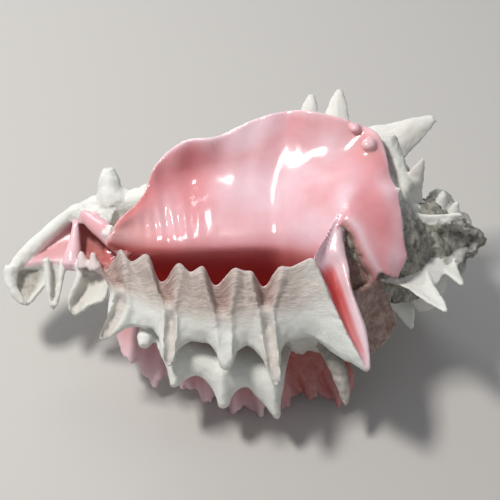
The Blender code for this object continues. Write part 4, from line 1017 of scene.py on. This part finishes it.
def glazeMaterial():
    material = bpy.data.materials.new("shellGlazeAndChalk")
    material.use_nodes = True
    tree = material.node_tree
    surface = tree.nodes["Principled BSDF"]
    zone = addNode(tree, "ShaderNodeAttribute", attribute_name="zone")
    parts = addNode(tree, "ShaderNodeSeparateColor", {"Color": zone.outputs["Color"]})
    pink, red, worn = parts.outputs["Red"], parts.outputs["Green"], parts.outputs["Blue"]
    band = zone.outputs["Alpha"]
    growthLines = addNode(tree, "ShaderNodeAttribute", attribute_name="lines")
    place = tree.nodes.new("ShaderNodeTexCoord").outputs["Object"]

    def noise(scale, detail=3.0, roughness=0.55, vector=place):
        return addNode(tree, "ShaderNodeTexNoise", {"Vector": vector, "Scale": scale, "Detail": detail,
                                                    "Roughness": roughness}).outputs["Fac"]

    def mix(factor, first, second, kind="MIX"):
        node = addNode(tree, "ShaderNodeMix", data_type="RGBA", blend_type=kind)
        for socket, value in ((node.inputs[0], factor), (node.inputs[6], first), (node.inputs[7], second)):
            if isinstance(value, bpy.types.NodeSocket):
                tree.links.new(value, socket)
            else:
                socket.default_value = value
        return node.outputs[2]

    # growth lines run across the whorl, a little wavy
    split = addNode(tree, "ShaderNodeSeparateXYZ", {0: growthLines.outputs["Vector"]})
    wander = productOf(tree, noise(220.0, 3.0), 1.2)
    along = sumOf(tree, split.outputs["X"], wander)
    lineVector = addNode(tree, "ShaderNodeCombineXYZ", {"X": along, "Y": calc(tree, "MULTIPLY", split.outputs["Y"], 0.16)})
    lineNoise = noise(2.2, 5.0, 0.7, lineVector.outputs[0])
    fineLines = mapRange(tree, lineNoise, 0.42, 0.62)
    lineShow = productOf(tree, fineLines, split.outputs["Z"])

    # chalky outside
    stain = mapRange(tree, noise(45.0, 5.0, 0.6), 0.42, 0.72)
    chalkColor = mix(calc(tree, "MULTIPLY", stain, 0.45), finish["chalk"], finish["chalkShade"])
    chalkColor = mix(calc(tree, "MULTIPLY", lineShow, 0.22), chalkColor, finish["chalkShade"])
    # dusty band under the teeth, with brown growth lines; the same colour is laid as painted shade at the top of the
    # second row
    bandColor = mix(calc(tree, "MULTIPLY", lineShow, 0.85), finish["band"], finish["bandLine"])
    color = mix(band, chalkColor, bandColor)
    # worn spire, and painted shade in the shadowed hollows that the zone marks
    wornMask = mapRange(tree, sumOf(tree, worn, productOf(tree, noise(120.0, 5.0, 0.7), 0.9)), 0.55, 1.15)
    wornColor = mix(mapRange(tree, noise(420.0, 5.0, 0.7), 0.40, 0.62), finish["worn"], finish["wornPale"])
    color = mix(calc(tree, "MULTIPLY", wornMask, 0.88), color, wornColor)
    # pink glaze, paler in cloudy patches and where the zone marks it pale (partly painted highlight), red in the depths
    # (partly painted shade)
    cloud = mapRange(tree, noise(55.0, 4.0, 0.6), 0.40, 0.66)
    thin = mapRange(tree, pink, 1.0, 0.72, 0.0, 0.80)
    pale = calc(tree, "ADD", thin, calc(tree, "MULTIPLY", cloud, 0.40), clamp=True)
    pinkColor = mix(mapRange(tree, noise(30.0, 2.0, 0.5), 0.45, 0.7), finish["pink"], finish["peach"])
    pinkColor = mix(pale, pinkColor, finish["palePink"])
    pinkColor = mix(red, pinkColor, finish["red"])
    pinkMask = mapRange(tree, pink, 0.15, 0.7, kind="SMOOTHSTEP")
    pinkMask = calc(tree, "MULTIPLY", pinkMask, calc(tree, "SUBTRACT", 1.0, calc(tree, "MULTIPLY", band, 0.45)))
    color = mix(pinkMask, color, pinkColor)
    tree.links.new(color, surface.inputs["Base Color"])

    glossy = calc(tree, "MULTIPLY", pinkMask, calc(tree, "SUBTRACT", 1.0, calc(tree, "MULTIPLY", band, 0.6)))
    rough = mapRange(tree, noise(300.0, 4.0, 0.6), 0.3, 0.7, 0.60, 0.86)
    smooth = mapRange(tree, noise(90.0, 3.0, 0.6), 0.3, 0.7, 0.10, 0.24)
    roughness = addNode(tree, "ShaderNodeMix", {"Factor": glossy, "A": rough, "B": smooth})
    tree.links.new(roughness.outputs["Result"], surface.inputs["Roughness"])
    surface.inputs["IOR"].default_value = 1.53

    grain = sumOf(tree, productOf(tree, noise(900.0, 5.0, 0.7), 0.5), productOf(tree, lineShow, -0.35),
                  productOf(tree, noise(260.0, 4.0, 0.6), 0.8))
    dull = calc(tree, "SUBTRACT", 1.0, calc(tree, "MULTIPLY", glossy, 0.93))
    height = productOf(tree, grain, dull)
    bump = addNode(tree, "ShaderNodeBump", {"Height": height, "Strength": 0.45, "Distance": 0.0008})
    tree.links.new(bump.outputs[0], surface.inputs["Normal"])
    return material


# Fine relief on the fused shell: pits and lumps where it is chalky, lines where it grew
def reliefTree():
    tree, given = newTree("surfaceRelief", [
        ("Source", "Object"), ("Pit Size", "Float"), ("Pit Depth", "Float"), ("Lump Size", "Float"),
        ("Lump Depth", "Float"), ("Line Depth", "Float"), ("Wave Size", "Float"), ("Wave Depth", "Float"), ("Seed", "Float"), ("Material", "Material"),
    ])
    source = addNode(tree, "GeometryNodeObjectInfo", {"Object": given["Source"]})
    position = tree.nodes.new("GeometryNodeInputPosition").outputs[0]

    def nearest(name, kind):
        value = addNode(tree, "GeometryNodeInputNamedAttribute", data_type=kind)
        value.inputs["Name"].default_value = name
        sample = addNode(tree, "GeometryNodeSampleNearestSurface", data_type=kind)
        tree.links.new(source.outputs["Geometry"], sample.inputs["Mesh"])
        tree.links.new(value.outputs["Attribute"], sample.inputs["Value"])
        tree.links.new(position, sample.inputs["Sample Position"])
        return sample.outputs["Value"]

    zone, lines = nearest("zone", "FLOAT_COLOR"), nearest("lines", "FLOAT_VECTOR")
    parts = addNode(tree, "FunctionNodeSeparateColor", {0: zone})
    stored = storeZone(tree, given["Geometry"], parts.outputs["Red"], parts.outputs["Green"],
                       parts.outputs["Blue"], parts.outputs["Alpha"], lines)

    def noise(size, detail):
        scaled = addNode(tree, "ShaderNodeVectorMath", {0: position}, operation="SCALE")
        scaled.inputs["Scale"].default_value = 1 / mm
        node = addNode(tree, "ShaderNodeTexNoise", {"Vector": scaled.outputs[0], "W": given["Seed"], "Detail": detail,
                                                    "Scale": calc(tree, "DIVIDE", 1.0, size)}, noise_dimensions="4D")
        return node.outputs["Fac"]

    dull = calc(tree, "SUBTRACT", 1.0, mapRange(tree, parts.outputs["Red"], 0.15, 0.7))
    eroded = calc(tree, "ADD", 1.0, calc(tree, "MULTIPLY", parts.outputs["Blue"], 4.0))
    lump = calc(tree, "SUBTRACT", noise(given["Lump Size"], 2.0), 0.5)
    lump = productOf(tree, lump, given["Lump Depth"], dull, calc(tree, "ADD", 1.0, eroded))
    pits = calc(tree, "MINIMUM", calc(tree, "SUBTRACT", noise(given["Pit Size"], 3.0), 0.48), 0.0)
    pits = productOf(tree, pits, given["Pit Depth"], dull, eroded, 8.0)
    wet = productOf(tree, calc(tree, "SUBTRACT", noise(given["Wave Size"], 2.0), 0.5), given["Wave Depth"],
                    calc(tree, "SUBTRACT", 1.0, dull), 2.0)
    split = addNode(tree, "ShaderNodeSeparateXYZ", {0: lines})
    wave = calc(tree, "SINE", calc(tree, "MULTIPLY", split.outputs["X"], 2.4))
    ridge = productOf(tree, wave, split.outputs["Z"], given["Line Depth"], dull)
    offset = productOf(tree, sumOf(tree, lump, pits, ridge, wet), mm)
    push = addNode(tree, "ShaderNodeVectorMath", {0: tree.nodes.new("GeometryNodeInputNormal").outputs[0]}, operation="SCALE")
    tree.links.new(offset, push.inputs["Scale"])
    moved = addNode(tree, "GeometryNodeSetPosition", {"Geometry": stored, "Offset": push.outputs[0]})
    return finishTree(tree, given, moved.outputs[0])


def fusedSource():
    points = np.concatenate([s[0] for s in solids])
    faces, offset = [], 0
    for solid in solids:
        faces += [tuple(i + offset for i in face) for face in solid[1]]
        offset += len(solid[0])
    cos, sin = math.cos(coil["tilt"]), math.sin(coil["tilt"])
    x = points[:, 0] * cos - points[:, 2] * sin
    z = points[:, 0] * sin + points[:, 2] * cos
    points = (np.stack([x, points[:, 1], z], -1) + np.array(coil["shift"])) * mm
    mesh = bpy.data.meshes.new("shellSource")
    mesh.from_pydata(points.tolist(), [], faces)
    zone = mesh.attributes.new("zone", "FLOAT_COLOR", "POINT")
    zone.data.foreach_set("color", np.concatenate([s[2] for s in solids]).astype(np.float32).ravel())
    lines = mesh.attributes.new("lines", "FLOAT_VECTOR", "POINT")
    lines.data.foreach_set("vector", np.concatenate([s[3] for s in solids]).astype(np.float32).ravel())
    source = bpy.data.objects.new("shellSource", mesh)
    bpy.context.scene.collection.objects.link(source)
    return source


def withoutCrumbs(mesh):
    # the shell is one piece, so only the largest connected piece is kept
    form = bmesh.new()
    form.from_mesh(mesh)
    seen, pieces = set(), []
    for start in form.verts:
        if start in seen:
            continue
        seen.add(start)
        piece = [start]
        for vert in piece:
            near = [edge.other_vert(vert) for edge in vert.link_edges]
            fresh = [other for other in near if other not in seen]
            seen.update(fresh)
            piece += fresh
        pieces.append(piece)
    pieces.sort(key=len)
    crumbs = [vert for piece in pieces[:-1] for vert in piece]
    largestCrumb = max([len(piece) for piece in pieces[:-1]], default=0)
    print("crumbs left out:", len(pieces) - 1, "with", len(crumbs), "points, the largest with", largestCrumb)
    bmesh.ops.delete(form, geom=crumbs, context="VERTS")
    form.to_mesh(mesh)
    form.free()
    return mesh


def fuseShell():
    source = fusedSource()
    print("solids gathered:", len(solids), "with", len(source.data.vertices), "points")
    rough = bpy.data.objects.new("roughShell", source.data.copy())
    bpy.context.scene.collection.objects.link(rough)
    remesh = rough.modifiers.new("fuse", "REMESH")
    remesh.mode = "VOXEL"
    remesh.voxel_size = finish["voxel"] * mm
    smooth = rough.modifiers.new("soften", "SMOOTH")
    smooth.factor = 0.5
    smooth.iterations = 2
    fused = plainMesh(rough)
    fused.calc_loop_triangles()
    count = len(fused.loop_triangles)
    print("fused:", count, "triangles")
    lighter = bpy.data.objects.new("lighterShell", fused)
    bpy.context.scene.collection.objects.link(lighter)
    if count > finish["triangles"]:
        thin = lighter.modifiers.new("lighten", "DECIMATE")
        thin.ratio = finish["triangles"] / count
    fused = withoutCrumbs(plainMesh(lighter))
    mesh = runTree("surfaceRelief", reliefTree(), {
        "Source": source, "Pit Size": finish["pitSize"], "Pit Depth": finish["pitDepth"],
        "Lump Size": finish["lumpSize"], "Lump Depth": finish["lumpDepth"],
        "Line Depth": finish["lineDepth"], "Wave Size": finish["waveSize"], "Wave Depth": finish["waveDepth"], "Seed": finish["seed"], "Material": glaze,
    }, fused)
    bpy.data.objects.remove(source, do_unlink=True)
    # the spine tips that it stands on are worn flat
    flat = np.empty(len(mesh.vertices) * 3)
    mesh.vertices.foreach_get("co", flat)
    points = flat.reshape(-1, 3)
    points[:, 2] = np.maximum(points[:, 2], 0.0)
    mesh.vertices.foreach_set("co", points.ravel())
    mesh.polygons.foreach_set("use_smooth", [True] * len(mesh.polygons))
    mesh.update()
    shell = bpy.data.objects.new("murexShell", mesh)
    bpy.context.scene.collection.objects.link(shell)
    return shell


glaze = glazeMaterial()
takeSolid(runTree("earlyWhorls", whorlTree(), {
    "Apex": coil["apex"], "Growth Ratio": coil["ratio"], "Start Turn": coil["spireTurn"],
    "End Turn": coil["cavityTurn"], "Lip Angle": coil["lipAngle"], "Slim Spire": coil["slimSpire"],
    "Cord Rise": coil["cordRise"], "Cord Pitch": coil["cordPitch"], "Rows": 320, "Columns": 160, "Material": glaze,
}))
print("whorls coiled")
buildWall()
buildColumella()
buildShield()
print("lip and shield built")
buildSpines()
buildShoulderSpine()
print("spines and frills built")
buildCanal()
print("canal built")
shell = fuseShell()
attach(shell, "root")
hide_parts("murex_shell")
print("shell fused:", len(shell.data.vertices), "points")

# Studio: a pale floor, a soft window light from the back left and a weak fill
studio = {
    "floor": (0.50, 0.48, 0.45, 1),
    "sky": (0.86, 0.90, 1.0, 1),
    "skyStrength": 0.34,
    "window": {"place": (-0.24, -0.02, 0.52), "size": (0.13, 0.07), "watts": 2.7, "color": (1.0, 0.98, 0.95)},
    "rear": {"place": (-0.25, 0.45, 0.30), "size": (0.25, 0.20), "watts": 1.0, "color": (0.92, 0.96, 1.0)},
    "fill": {"place": (0.45, -0.50, 0.45), "size": (0.60, 0.60), "watts": 0.4, "color": (1.0, 0.96, 0.92)},
    "distance": 0.480,
    "elevation": 45.0,
    "lens": 125.0,
}


def buildStudio():
    floorMesh = bpy.data.meshes.new("floor")
    half = 3.0
    floorMesh.from_pydata([(-half, -half, 0), (half, -half, 0), (half, half, 0), (-half, half, 0)], [], [(0, 1, 2, 3)])
    floor = bpy.data.objects.new("floor", floorMesh)
    bpy.context.scene.collection.objects.link(floor)
    paint = bpy.data.materials.new("paleFloor")
    paint.use_nodes = True
    paint.node_tree.nodes["Principled BSDF"].inputs["Base Color"].default_value = studio["floor"]
    paint.node_tree.nodes["Principled BSDF"].inputs["Roughness"].default_value = 0.9
    floorMesh.materials.append(paint)
    world = bpy.data.worlds.new("softRoom")
    world.use_nodes = True
    world.node_tree.nodes["Background"].inputs["Color"].default_value = studio["sky"]
    world.node_tree.nodes["Background"].inputs["Strength"].default_value = studio["skyStrength"]
    bpy.context.scene.world = world
    bpy.context.scene.view_settings.view_transform = "Standard"
    middle = Vector((coil["shift"][0] * mm, coil["shift"][1] * mm, coil["shift"][2] * mm))
    for name in ("window", "rear", "fill"):
        lamp = bpy.data.lights.new(name, "AREA")
        lamp.shape = "RECTANGLE"
        lamp.size, lamp.size_y = studio[name]["size"]
        lamp.energy = studio[name]["watts"]
        lamp.color = studio[name]["color"]
        holder = bpy.data.objects.new(name, lamp)
        holder.location = studio[name]["place"]
        holder.rotation_euler = (middle - holder.location).to_track_quat("-Z", "Y").to_euler()
        bpy.context.scene.collection.objects.link(holder)
    camera = bpy.data.cameras.new("camera")
    camera.lens = studio["lens"]
    camera.sensor_width = 36.0
    holder = bpy.data.objects.new("camera", camera)
    rise = math.radians(studio["elevation"])
    look = Vector((0, math.cos(rise), -math.sin(rise)))
    holder.location = middle - look * studio["distance"]
    holder.rotation_euler = look.to_track_quat("-Z", "Y").to_euler()
    bpy.context.scene.collection.objects.link(holder)
    bpy.context.scene.camera = holder


buildStudio()
print("studio ready")
